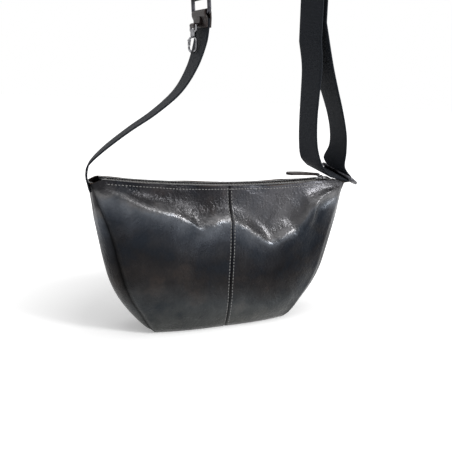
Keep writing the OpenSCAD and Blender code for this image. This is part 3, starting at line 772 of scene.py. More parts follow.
@dataclass(frozen=True)
class BagForm:
    """Outline, depth and folds of the filled bag, in millimetres above its base.

    Levels are shares of the height and widths, seams, swells and middles are shares at those levels. The
    crest's line gives where the front bends from its shelf into its face, and fuller is how far the right
    side stands out.
    """

    half_width: float = 150.0
    half_depth: float = 32.0
    mouth: float = 159.0
    zip_half: float = 133.0
    zip_sag: float = 6.2
    zip_shift: float = 23.0
    rim_rise: float = 1.6
    rim_drop: float = 5.0
    band_end: float = 137.8
    wall: float = 1.6
    levels: tuple = (0, 0.03, 0.125, 0.25, 0.37, 0.5, 0.62, 0.73, 0.8, 0.88, 1)
    widths: tuple = (0.538, 0.58, 0.646, 0.728, 0.781, 0.82, 0.854, 0.892, 0.922, 0.954, 1)
    seams: tuple = (0.48, 0.58, 0.615, 0.65, 0.65, 0.615, 0.58, 0.53, 0.47, 0.41, 0.37)
    swells: tuple = (0, 0.12, 0.32, 0.42, 0.5, 0.55, 0.55, 0.5, 0.42, 0.25, 0)
    middle_levels: tuple = (
        *(0, 0.03, 0.125, 0.25, 0.37, 0.5, 0.62, 0.72),
        *(0.765, 0.785, 0.81, 0.84, 0.88, 0.93, 1),
    )
    middles: tuple = (0.69, 0.82, 0.97, 1, 1, 0.985, 0.955, 0.905, 0.88, 0.86, 0.79, 0.68, 0.56, 0.47, 0.41)
    crest_x: tuple = (
        *(-150, -123, -102, -75, -59, -47, -39, -30, -18, 3),
        *(18, 31, 40, 48, 60, 75, 88, 99, 150),
    )
    crest_z: tuple = (
        *(159, 153, 143, 135, 131, 125, 119, 120, 124, 123),
        *(115, 106, 100, 97, 101, 110, 120, 137, 148),
    )
    crest_level: float = 0.785
    crest_range: tuple = (0.5, 0.95)
    shelf: float = 30.0
    fuller: tuple = (0, 1.2, 3.0, 3.8, 4.4, 4.6, 4.6, 4.6, 4.4, 3.6, 0)

    @property
    def zip_radius(self) -> float:
        """Radius of the zip's arc."""
        return (self.zip_half**2 + self.zip_sag**2) / (2 * self.zip_sag)

    def height(self, x: np.ndarray, rise: float) -> np.ndarray:
        """Height above the base, at distances from the middle, of an arc a rise above the zip line."""
        centre = self.mouth + self.zip_radius
        return centre - np.sqrt((self.zip_radius - rise) ** 2 - (np.asarray(x, float) - self.zip_shift) ** 2)

    def rim(self, x: np.ndarray) -> np.ndarray:
        """Height of the rim at distances from the middle; it drops past the zip's ends."""
        past = fade(np.abs(x) - self.band_end, self.half_width - self.band_end)
        return self.height(x, self.rim_rise) - self.rim_drop * ease(past)

    def outline(self, v: np.ndarray) -> np.ndarray:
        """Half width of the outline at a share of the height."""
        return self.half_width * hermite(v, self.levels, self.widths)

    def full(self, v: np.ndarray) -> np.ndarray:
        """How far the filled right side stands out past the left one, in millimetres."""
        return hermite(v, self.levels, self.fuller)

    def seam_depth(self, v: np.ndarray) -> np.ndarray:
        """Depth of the side seam at a share of the height."""
        return self.half_depth * hermite(v, self.levels, self.seams)

    def beside(self, across: np.ndarray, up: np.ndarray) -> np.ndarray:
        """Distance from the side seam at shares of the width and height."""
        return (1 - np.abs(across)) * self.outline(up)

    def warped(self, x: np.ndarray, v: np.ndarray, face: Face) -> np.ndarray:
        """Shift the level so that the shelf of the front follows its crest.

        Args:
            x: Distance from the middle.
            v: Share of the height.
            face: Front or back; the back keeps a straight shelf.

        Returns:
            The level at which the middle's depth is read.
        """
        if face is Face.BACK:
            return v
        crest = np.clip(hermite(x, self.crest_x, self.crest_z) / self.rim(x), *self.crest_range)
        low = v / crest * self.crest_level
        t = np.clip((v - crest) / (1 - crest), 0, 1)
        steep = (1 - crest) * self.mouth / self.shelf - 1
        high = self.crest_level + (t + steep * t * (1 - t) ** 2) * (1 - self.crest_level)
        return np.where(v < crest, low, high)

    def face_net(self, u: np.ndarray, v: np.ndarray, face: Face) -> np.ndarray:
        """Points of a panel's outer face before its folds.

        Args:
            u: Shares of the width, negative on the left.
            v: Shares of the height.
            face: Front or back.

        Returns:
            Rows by columns by 3.
        """
        across, up = np.meshgrid(u, v)
        x = across * self.outline(up) + np.clip(across, 0, 1) ** 3 * self.full(up)
        z = up * self.rim(across * self.half_width)
        side = self.seam_depth(up)
        middle = self.half_depth * hermite(self.warped(x, up, face), self.middle_levels, self.middles)
        depth = side + (middle - side) * (1 - np.abs(across) ** (3 + 2 * up))
        return np.stack([x, face.value * depth, z], axis=-1)


@dataclass(frozen=True)
class Fold:
    """Ridge or dent along a line on a panel: its points, height and half width in millimetres."""

    line: tuple
    rise: float
    reach: float
    # Share of its length that is cut off at each end of its rise and fall, and how blunt that rise is
    cut: float = 0.07
    blunt: float = 0.6

    def lift(self, x: np.ndarray, z: np.ndarray) -> np.ndarray:
        """Height that the fold adds at places of the panel.

        Args:
            x: Distances from the middle.
            z: Heights above the base.

        Returns:
            Millimetres outward.
        """
        best = np.full(x.shape, 1e9)
        ends = np.ones(x.shape)
        count = len(self.line) - 1
        for k, ((ax, az), (bx, bz)) in enumerate(zip(self.line, self.line[1:])):
            dx, dz = bx - ax, bz - az
            t = np.clip(((x - ax) * dx + (z - az) * dz) / (dx * dx + dz * dz), 0, 1)
            gap = np.hypot(x - ax - t * dx, z - az - t * dz)
            along = np.clip((k + t) / count * (1 - 2 * self.cut) + self.cut, 0, 1)
            closer = gap < best
            best = np.where(closer, gap, best)
            ends = np.where(closer, np.sin(np.pi * along) ** self.blunt, ends)
        return self.rise * ends * bell(best, self.reach)


FRONT_FOLDS = (
    Fold(((-145, 171), (-136, 160), (-126, 146), (-120, 129)), 2.4, 5.0),
    Fold(((-138, 163), (-128, 150), (-123, 133), (-118, 115)), -2.2, 4.0),
    Fold(((-120, 152), (-100, 144), (-75, 136), (-51, 127)), 1.2, 5.0),
    Fold(((-95, 156), (-83, 150), (-69, 146)), -1.0, 8.0),
    Fold(((-57, 127), (-45, 122), (-37, 115), (-30, 110)), 1.4, 4.0),
    Fold(((-36, 116), (-25, 120), (-14, 123)), 0.9, 4.0),
    Fold(((-37, 106), (-40, 94), (-44, 82)), -0.8, 9.0),
    Fold(((19, 116), (31, 107), (41, 100), (49, 94)), 1.4, 4.0),
    Fold(((49, 94), (60, 100), (73, 108)), 1.3, 4.5),
    Fold(((50, 114), (57, 126), (68, 138)), 1.2, 6.0),
    Fold(((24, 130), (36, 121), (46, 110)), -1.4, 7.0),
    Fold(((71, 129), (77, 119), (81, 108)), -1.6, 7.0),
    Fold(((149, 157), (131, 152), (114, 147), (105, 139), (101, 122)), 2.8, 3.4),
    Fold(((143, 147), (126, 143), (114, 135), (109, 119)), -2.6, 5.0),
    Fold(((98, 126), (94, 112), (83, 98), (70, 88)), 1.5, 6.0),
    Fold(((110, 111), (104, 91), (97, 77)), -1.2, 8.0),
    Fold(((30, 24), (53, 31), (77, 42)), -1.6, 12.0),
    Fold(((57, 21), (76, 30), (91, 44)), 1.4, 8.0),
    Fold(((-88, 25), (-69, 32), (-49, 33)), -1.2, 10.0),
    Fold(((-92, 19), (-80, 14), (-66, 15)), 1.0, 4.0),
    Fold(((-103, 71), (-95, 52), (-84, 37)), 1.2, 9.0),
)
BACK_FOLDS = (
    Fold(((-140, 150), (-112, 134), (-70, 122), (-20, 118), (40, 120), (100, 134), (138, 152)), 1.6, 6.0),
    Fold(((-96, 120), (-70, 100), (-52, 84)), -1.4, 9.0),
    Fold(((88, 124), (66, 104), (58, 86)), -1.4, 9.0),
    Fold(((20, 60), (48, 52), (76, 58)), 1.0, 10.0),
)


@dataclass
class LeatherShell:
    """The shell: four panel halves, the gusset and the rim bands, lofted with their folds."""

    form: BagForm
    leather: bpy.types.Material
    edge: bpy.types.Material
    columns: int = 84
    rows: int = 96
    # Depth to which the leather rolls in at the middle seam and at the side seams
    seam_roll: float = 1.1
    side_roll: float = 2.2
    # Natural waves of the hide: length across and up, then height of the broad ones and of the finer ones
    wave_lengths: tuple = (34.0, 26.0)
    wave_heights: tuple = (1.1, 0.45)
    wave_finer: float = 2.7
    # Soft ridge beside the side seams: height, distance from the seam and width
    ridge: tuple = (0.5, 6.5, 2.4)
    # Half length of the strips beside the zip
    strip_half: float = 137.6
    # Place on the leather's map, left of the middle and near the rim, whose painted sheen the strips take
    strip_sheen_place: tuple = (-0.1, 0.95)
    lining_wall: float = 0.5

    def panel_net(self, face: Face, u: np.ndarray, v: np.ndarray) -> np.ndarray:
        """Points of a panel's outer face with its folds and its natural waves.

        Args:
            face: Front or back.
            u: Shares of the width.
            v: Shares of the height.

        Returns:
            Rows by columns by 3.
        """
        net = self.form.face_net(u, v, face)
        x, z = net[..., 0], net[..., 2]
        lift = sum(fold.lift(x, z) for fold in (FRONT_FOLDS if face is Face.FRONT else BACK_FOLDS))
        long_x, long_z = self.wave_lengths
        broad, fine = self.wave_heights
        for i, j in np.ndindex(x.shape):
            here = Vector((x[i, j] / long_x, z[i, j] / long_z, 3.0 + face.value))
            lift[i, j] += broad * noise.noise(here) + fine * noise.noise(here * self.wave_finer)
        across, up = np.meshgrid(u, v)
        inward = 1 - np.abs(across)
        hold = ease(fade(inward, 0.12) * fade(up, 0.08) * fade(1 - up, 0.07))
        normal = np.cross(np.gradient(net, axis=1), np.gradient(net, axis=0))
        normal /= np.linalg.norm(normal, axis=-1, keepdims=True)
        normal *= np.where(normal[..., 1:2] * face.value < 0, -1.0, 1.0)
        beside = self.form.beside(across, up)
        hem = fade(up, 0.03) * fade(1 - up, 0.05)
        high, away, wide = self.ridge
        roll = self.seam_roll * bell(np.abs(x), 1.3)
        roll += self.side_roll * bell(beside, 3.2) * hem
        roll -= high * bell(beside - away, wide) * hem
        # The rim sways between its ends and its middle seam
        wavy = fade(up - 0.9, 0.1) ** 2 * fade(inward, 0.2) * fade(np.abs(x), 12)
        sway = np.sin(x / 13.5 + 0.6 * face.value) + 0.5 * np.sin(x / 6.1 + 2.0)
        moved = net + normal * (lift * hold - roll)[..., None]
        moved[..., 1] += 0.9 * wavy * sway
        moved[..., 2] += 0.7 * wavy * np.cos(x / 16.0 + 1.0 + face.value)
        return moved

    def panel(self, face: Face, half: Half) -> bpy.types.Object:
        """Make one half of a panel.

        Args:
            face: Front or back.
            half: Left or right.

        Returns:
            The finished piece.
        """
        start = 0.0011
        t = np.linspace(0, 1, self.columns)
        u = start + (1 - start) * (0.35 * t**2.2 + 0.65 * t)
        u = np.unique(np.concatenate([u, start + np.array([0.004, 0.008, 0.013, 0.019])]))
        v = np.linspace(0, 1, self.rows)
        net = self.panel_net(face, u * half.value, v)
        across, up = np.meshgrid(u * half.value, v)
        x = across * self.form.outline(up)
        # The map's height is the one that the leather's painted sheen follows
        flat = np.stack([x / 1000, self.form.warped(x, up, face)], axis=-1)
        # Painted shade: darker colour and less sheen along the side seams and the middle seam
        seam_shade = bell(self.form.beside(across, up) - 0.4, 2.0) * fade(up, 0.03)
        seam_shade = np.clip(seam_shade + 0.7 * bell(np.abs(x), 1.1), 0, 1)
        if (half is Half.LEFT) != (face is Face.BACK):
            net, flat, seam_shade = net[:, ::-1], flat[:, ::-1], seam_shade[:, ::-1]
        item = cloth_grid(f"panel_{face.word}_{half.word}_leather", net, flat, seam_shade)
        give_wall(item, self.form.wall, even=False)
        smooth_edges(item)
        dress(item, self.leather, "bag", Slot.LEATHER, f"{face.word}_panel_{half.word}")
        self.paint_edges(item, 2 * (net.shape[0] - 1) * (net.shape[1] - 1))
        return item

    def paint_edges(self, item: bpy.types.Object, skins: int) -> None:
        """Give the cut top and side edges of a panel the raw edge's material.

        Args:
            item: Panel with its thickness.
            skins: Faces of its two skins, after which the faces of its edges follow.
        """
        item.data.materials.append(self.edge)
        for polygon in item.data.polygons[skins:]:
            x, _, z = polygon.center * 1000
            if abs(x + SHIFT) > 3 and z + HANG > 3:
                polygon.material_index = 1

    def gusset(self) -> bpy.types.Object:
        """Make the one long strip of the sides and base.

        Returns:
            The finished piece.
        """
        form = self.form
        v = np.concatenate([np.linspace(1, 0.12, 60), np.linspace(0.11, 0, 12)])
        side_x = form.outline(v)
        base_u = np.linspace(1, -1, 40)[1:-1]
        flat_base, ends = np.zeros(len(base_u)), np.ones(len(v))
        x = np.concatenate([side_x + form.full(v), base_u * side_x[-1], -side_x[::-1]])
        right_z, left_z = (v * form.rim(side * form.half_width) for side in (1, -1))
        z = np.concatenate([right_z, flat_base, left_z[::-1]])
        level = np.concatenate([v, flat_base, v[::-1]])
        tangent = np.gradient(np.stack([x, z], axis=1), axis=0)
        tangent /= np.linalg.norm(tangent, axis=1, keepdims=True)
        out = np.stack([-tangent[:, 1], tangent[:, 0]], axis=1)
        side = form.seam_depth(level)
        bow = 1 - np.abs(np.concatenate([ends, base_u, ends])) ** 3
        edge = (side + (form.half_depth * form.middles[0] - side) * bow - form.wall - 0.3)[:, None]
        swell = (side * hermite(level, form.levels, form.swells))[:, None]
        tall = level[:, None]
        s = np.sin(np.linspace(-0.5, 0.5, 25) * np.pi)[None, :]
        crease = 0.35 * np.cos(3 * np.pi * s) * np.clip((tall - 0.4) * 2, 0, 1)
        beside = (1 - np.abs(s)) * edge
        shift = (swell + crease) * (1 - s**2) - self.side_roll * bell(beside, 3.4) * fade(tall, 0.05)
        x, z = x[:, None] + out[:, 0:1] * shift, z[:, None] + out[:, 1:2] * shift
        net = np.stack([x, s * edge, z], axis=-1)
        flat = np.stack([s * edge / 1000, np.repeat(tall, s.size, 1)], axis=-1)
        # Painted shade: darker colour and less sheen along the gusset's seams
        seam_shade = bell(beside, 2.2) * fade(tall, 0.05)
        item = cloth_grid("gusset_leather", net[:, ::-1], flat[:, ::-1], seam_shade[:, ::-1])
        give_wall(item, form.wall, even=False)
        smooth_edges(item)
        return dress(item, self.leather, "bag", Slot.LEATHER, "gusset")

    def line_with(self, name: str, net: np.ndarray, cloth: bpy.types.Material) -> None:
        """Make one cloth of the lining.

        Args:
            name: Which cloth it is.
            net: Its points.
            cloth: Lining cloth's material.
        """
        item = cloth_grid(f"lining_{name}_cloth", net)
        give_wall(item, self.lining_wall)
        smooth_edges(item, 60)
        dress(item, cloth, "bag", Slot.LINING, f"lining_{name}")

    def lining(self, cloth: bpy.types.Material) -> None:
        """Make the front, back and gusset cloths of the lining.

        Args:
            cloth: Lining cloth's material.
        """
        form = self.form
        inset = form.wall + 3.75
        for face in Face:
            net = form.face_net(np.linspace(-1, 1, 60), np.linspace(0.03, 0.93, 40), face)
            net[..., 0] *= 0.975
            depth = np.maximum(net[..., 1] * face.value - inset, 1.5)
            net[..., 1] = face.value * depth
            self.line_with(face.word, net[:, ::-1] if face is Face.BACK else net, cloth)
        v = np.linspace(0.93, 0.02, 40)
        x = np.concatenate([form.outline(v), -form.outline(v)[::-1]])[:, None] * 0.97
        right_z, left_z = (v * form.rim(side * form.half_width) for side in (1, -1))
        z = np.concatenate([right_z, left_z[::-1]])[:, None] + 2.6
        level = np.concatenate([v, v[::-1]])[:, None]
        s = np.linspace(-1, 1, 5)[None, :]
        pull = np.where(level > 0.65, 5.5 * (1 - s**2), 0)
        edge = np.maximum(form.seam_depth(level) - 4.4, 1.0)
        net = np.stack([x - np.sign(x) * pull, s * edge, np.repeat(z, s.size, 1)], axis=-1)
        self.line_with("gusset", net[:, ::-1], cloth)

    def zip_strip(
        self, name: str, face: Face, near: float, low: float, high: float, wave: float
    ) -> bpy.types.Object:
        """Make a strip that runs along the zip between a near line and the panel.

        Args:
            name: Name of the piece.
            face: Side of the zip.
            near: Distance of its free edge from the zip's middle.
            low: Its lower face above the zip line.
            high: Its upper face above the zip line.
            wave: Height of its natural waves.

        Returns:
            The strip, not yet dressed.
        """
        form = self.form
        x = np.linspace(-self.strip_half, self.strip_half, 160)
        s = np.linspace(0, 1, 5)[None, :]
        rim = form.face_net(np.abs(x) / form.half_width, np.ones(1), Face.FRONT)[0, :, 1]
        far = -rim - form.wall - 0.35
        waves = np.array([noise.noise(Vector((a / 21, 7.7 * face.value, 0))) for a in x]) * wave
        lift = np.sin(np.pi * (0.25 + 0.75 * s))
        net = np.empty((len(x), s.size, 3))
        net[..., 0] = x[:, None]
        net[..., 1] = face.value * (near + (far - near)[:, None] * s)
        net[..., 2] = form.height(x, high)[:, None] + waves[:, None] * lift
        if face is Face.FRONT:
            net = net[:, ::-1]
        item = cloth_grid(name, net, np.broadcast_to(np.array(self.strip_sheen_place), net.shape[:2] + (2,)))
        face_up(item)
        give_wall(item, high - low)
        smooth_edges(item)
        return item

    def build(self, cloth: bpy.types.Material, tape: bpy.types.Material) -> None:
        """Make every piece of the shell.

        Args:
            cloth: Lining cloth's material.
            tape: Zip tape's material.
        """
        for face in Face:
            for half in Half:
                self.panel(face, half)
            band = self.zip_strip(f"rim_band_{face.word}_leather", face, 4.9, 0.6, 1.8, 0.35)
            dress(band, self.leather, "bag", Slot.LEATHER, f"rim_band_{face.word}")
            strip = self.zip_strip(f"zip_tape_{face.word}_cloth", face, 3.2, -0.3, 0.3, 0.0)
            dress(strip, tape, "bag", Slot.TAPE, f"zip_tape_{face.word}")
        self.gusset()
        self.lining(cloth)


def station(place: Sequence[float], turn: float = 0, tilt: float = 0, wide: float = 1) -> np.ndarray:
    """Station of a band: its place, turn about the vertical, tilt to the front and share of its width."""
    return np.array([*place, turn, tilt, wide], float)


def arc_points(radius: float, first: float, last: float, count: int) -> list[tuple[float, float]]:
    """Points of an arc round the origin, between two angles in degrees."""
    return [(radius * math.cos(a), radius * math.sin(a)) for a in np.radians(np.linspace(first, last, count))]


@dataclass(frozen=True)
class StrapRoute:
    """Route of the strap in millimetres, with its turn about the vertical and its tilt to the front."""

    corner: float = 161.2585
    rise: float = 484.0
    half_width: float = 150.0
    arch: float = 64.0
    # Radius of the webbing's middle round a ring's bar, and distance between a ring's bars
    wrap: float = 3.8
    ring: float = 17.0
    ring_yaw: float = 22.0
    ring_tilt: float = 16.5
    ring_lean: float = 65.0
    end_lean: float = 5.7
    strand_yaw: float = 8.0
    strand_lean: float = 3.4
    straight: float = 250.0
    adjuster_up: float = 118.0
    # Length of the adjuster's sewn end, and radius of the webbing sewn round its centre bar
    sewn: float = 26.0
    loop: float = 3.8
    # Angles at which the webbing meets and leaves the corner ring's bar
    wrap_from: float = -125.0
    wrap_to: float = -6.0

    @property
    def arch_centre(self) -> np.ndarray:
        """Centre of the strap's arch over the bag."""
        return np.array([SHIFT, 0, self.corner + self.rise - self.arch])

    @property
    def end_bar(self) -> np.ndarray:
        """Lower bar of the end ring."""
        return np.array([-self.half_width * 0.2471, 0, self.corner + self.rise * 0.3589])

    @property
    def end_upper(self) -> np.ndarray:
        """Upper bar of the end ring."""
        lean = math.radians(self.end_lean)
        return self.end_bar + np.array([-math.sin(lean), 0, math.cos(lean)]) * self.ring

    def turned(self, point: Sequence[float]) -> np.ndarray:
        """Turn an offset with the corner ring."""
        yaw = Matrix.Rotation(math.radians(self.ring_yaw), 3, "Z")
        tilt = Matrix.Rotation(math.radians(self.ring_tilt), 3, "X")
        return np.array(yaw @ tilt @ Vector(point))

    def on_ring(self, bar: np.ndarray, x: float, z: float, wide: float = 1) -> np.ndarray:
        """Station beside a bar of the corner ring, given across and up in the ring's own directions."""
        return station(bar + self.turned((x, 0, z)), self.ring_yaw, self.ring_tilt, wide)

    @property
    def tab_bar(self) -> np.ndarray:
        """Lower bar of the corner ring."""
        return np.array([self.half_width + 2.8, -1.6, self.corner + 6.6])

    @property
    def upper_bar(self) -> np.ndarray:
        """Upper bar of the corner ring."""
        lean = math.radians(self.ring_lean)
        return self.tab_bar + self.turned([-math.sin(lean) * self.ring, 0, math.cos(lean) * self.ring])

    @property
    def direction(self) -> np.ndarray:
        """Direction of the straight right strand, upward."""
        lean, yaw = math.radians(self.strand_lean), math.radians(self.strand_yaw)
        return np.array([-math.sin(lean) * math.cos(yaw), -math.sin(lean) * math.sin(yaw), math.cos(lean)])

    @property
    def straight_low(self) -> np.ndarray:
        """Lower end of the straight right strand."""
        back = -self.direction[1] * self.straight
        return np.array([self.half_width * 0.6233, back, self.corner + self.rise * 0.3247])

    @property
    def adjuster(self) -> np.ndarray:
        """Place of the adjuster on the strand."""
        return self.straight_low + self.direction * self.adjuster_up

    def at(self, rows: Sequence[Sequence[float]]) -> list[np.ndarray]:
        """Stations from shares of the half width and of the strap's rise.

        Args:
            rows: X share and Z share of each station, and where it has them its turn, tilt and width share.

        Returns:
            The stations.
        """
        return [station((x * self.half_width, 0, self.corner + z * self.rise), *rest) for x, z, *rest in rows]

    @staticmethod
    def run(stations: Sequence[np.ndarray], steps: int) -> list[np.ndarray]:
        """Smooth run through a few stations.

        Args:
            stations: Stations to pass through.
            steps: Steps between two of them.

        Returns:
            The finer run.
        """
        out = []
        for i in range(len(stations) - 1):
            p0, p1 = stations[max(i - 1, 0)], stations[i]
            p2, p3 = stations[i + 1], stations[min(i + 2, len(stations) - 1)]
            out += [cubic(p1, (p2 - p0) / 2, p2, (p3 - p1) / 2, k / steps) for k in range(steps)]
        return out + [stations[-1]]

    @staticmethod
    def arc(centre: np.ndarray, radius: float, first: float, last: float, steps: int) -> list[np.ndarray]:
        """Stations on an arc in the plane of the bag's width."""
        return [station(centre + (x, 0, z)) for x, z in arc_points(radius, first, last, steps + 1)]

    def strap(self) -> list[np.ndarray]:
        """Main webbing: sewn end, end ring, over the top, down the right side and round the corner ring.

        Returns:
            Its stations.
        """
        ply = self.at(((-0.2933, 0.477), (-0.2851, 0.4496), (-0.2616, 0.426), (-0.2392, 0.4095)))
        left = self.at(
            (
                *((-0.29, 0.4162), (-0.2975, 0.4447), (-0.3078, 0.4772)),
                *((-0.3184, 0.5157), (-0.3271, 0.5663), (-0.329, 0.6267)),
            )
        )
        inner = self.at(
            (
                *((0.65, 0.2692, 4, 0), (0.656, 0.2078, 1, 0.5), (0.6615, 0.1462, 0, 2)),
                *((0.683, 0.0895, 3, 5), (0.7299, 0.0486, 13, 10), (0.8125, 0.0247, 21, 15)),
            )
        )
        foot = station(self.arch_centre - (self.arch, 0, 0))
        low = station(self.straight_low, self.strand_yaw)
        high = station(self.straight_low + self.direction * self.straight, self.strand_yaw)
        wrap = arc_points(self.wrap, self.wrap_from, self.wrap_to, 13)
        return (
            self.run(ply, 6)
            + self.arc(self.end_upper, self.wrap, 0, -180, 14)
            + self.run(left + [foot], 6)[:-1]
            + self.arc(self.arch_centre, self.arch, 180, 0, 48)
            + [high + (low - high) * k / 24 for k in range(24)]
            + self.run([low] + inner, 7)[:-1]
            + [self.on_ring(self.upper_bar, x, z) for x, z in wrap]
        )

    def returned(self) -> list[np.ndarray]:
        """Return strand from the corner ring up to the adjuster's sewn end.

        Returns:
            Its stations.
        """
        yaw = math.radians(self.strand_yaw)
        # Half the webbing, a gap, the sewn loop's radius and half the webbing
        side = np.array([math.cos(yaw), math.sin(yaw), 0]) * (0.8 + 0.3 + self.loop + 0.8)
        top = self.adjuster - self.direction * (self.sewn + self.loop + 0.3) + side
        low = self.adjuster - self.direction * (self.adjuster_up - 19) + side
        outer = self.at(
            (
                *((0.938, 0.0475, 9, 11), (0.957, 0.0801, -2, 6), (0.9461, 0.1184, -4, 3)),
                *((0.8974, 0.1663, -4, 2), (0.8128, 0.226, -1, 1), (0.7359, 0.2782, 5, 0)),
            )
        )
        x, z = arc_points(self.wrap, self.wrap_to, self.wrap_to, 1)[0]
        first = self.on_ring(self.upper_bar, x, z + 1.1)
        last, end = station(low, self.strand_yaw), station(top, self.strand_yaw)
        return self.run([first] + outer + [last], 7)[:-1] + [last + (end - last) * k / 6 for k in range(7)]

    def lower(self) -> list[np.ndarray]:
        """Lower webbing from the left corner, where it is folded narrow, to the end tab.

        Returns:
            Its stations.
        """
        rows = (
            *((-0.985, -0.0108, -4, 0, 0.3), (-0.997, 0.003, -7, 0, 0.34), (-1.007, 0.018, -11, 0, 0.45)),
            *((-1.005, 0.033, -14, 0, 0.6), (-0.985, 0.05, -14.5, 0, 0.8), (-0.89, 0.079, -13.5)),
            *((-0.727, 0.118, -12), (-0.555, 0.155, -9.5), (-0.396, 0.1994, -7)),
            *((-0.299, 0.2489, -4), (-0.2486, 0.297, -1)),
        )
        low, high = (station(self.end_bar + (1.6, 0, -under)) for under in (14.3, 5.6))
        return self.run(self.at(rows) + [low], 8) + [high]


def ribbon_net(
    stations: Sequence[np.ndarray], width: float, across_steps: int = 11
) -> tuple[np.ndarray, np.ndarray]:
    """Net of a ribbon's middle surface, and its flat pattern.

    Args:
        stations: Place, turn, tilt and width share of each station.
        width: Full width in millimetres.
        across_steps: Points across the ribbon.

    Returns:
        The net, and the flat pattern in metres.
    """
    st = np.array(stations)
    yaw, tilt = np.radians(st[:, 3]), np.radians(st[:, 4])
    across = np.stack([np.sin(yaw) * np.cos(tilt), -np.cos(yaw) * np.cos(tilt), -np.sin(tilt)], axis=1)
    s = np.linspace(-0.5, 0.5, across_steps)
    net = st[:, None, :3] + across[:, None, :] * (s[None, :, None] * width * st[:, None, 5:6])
    length = np.concatenate([[0], np.cumsum(np.linalg.norm(np.diff(st[:, :3], axis=0), axis=1))])
    flat = np.stack(np.broadcast_arrays(s[None, :] * width, length[:, None]), axis=-1)
    return net, flat / 1000


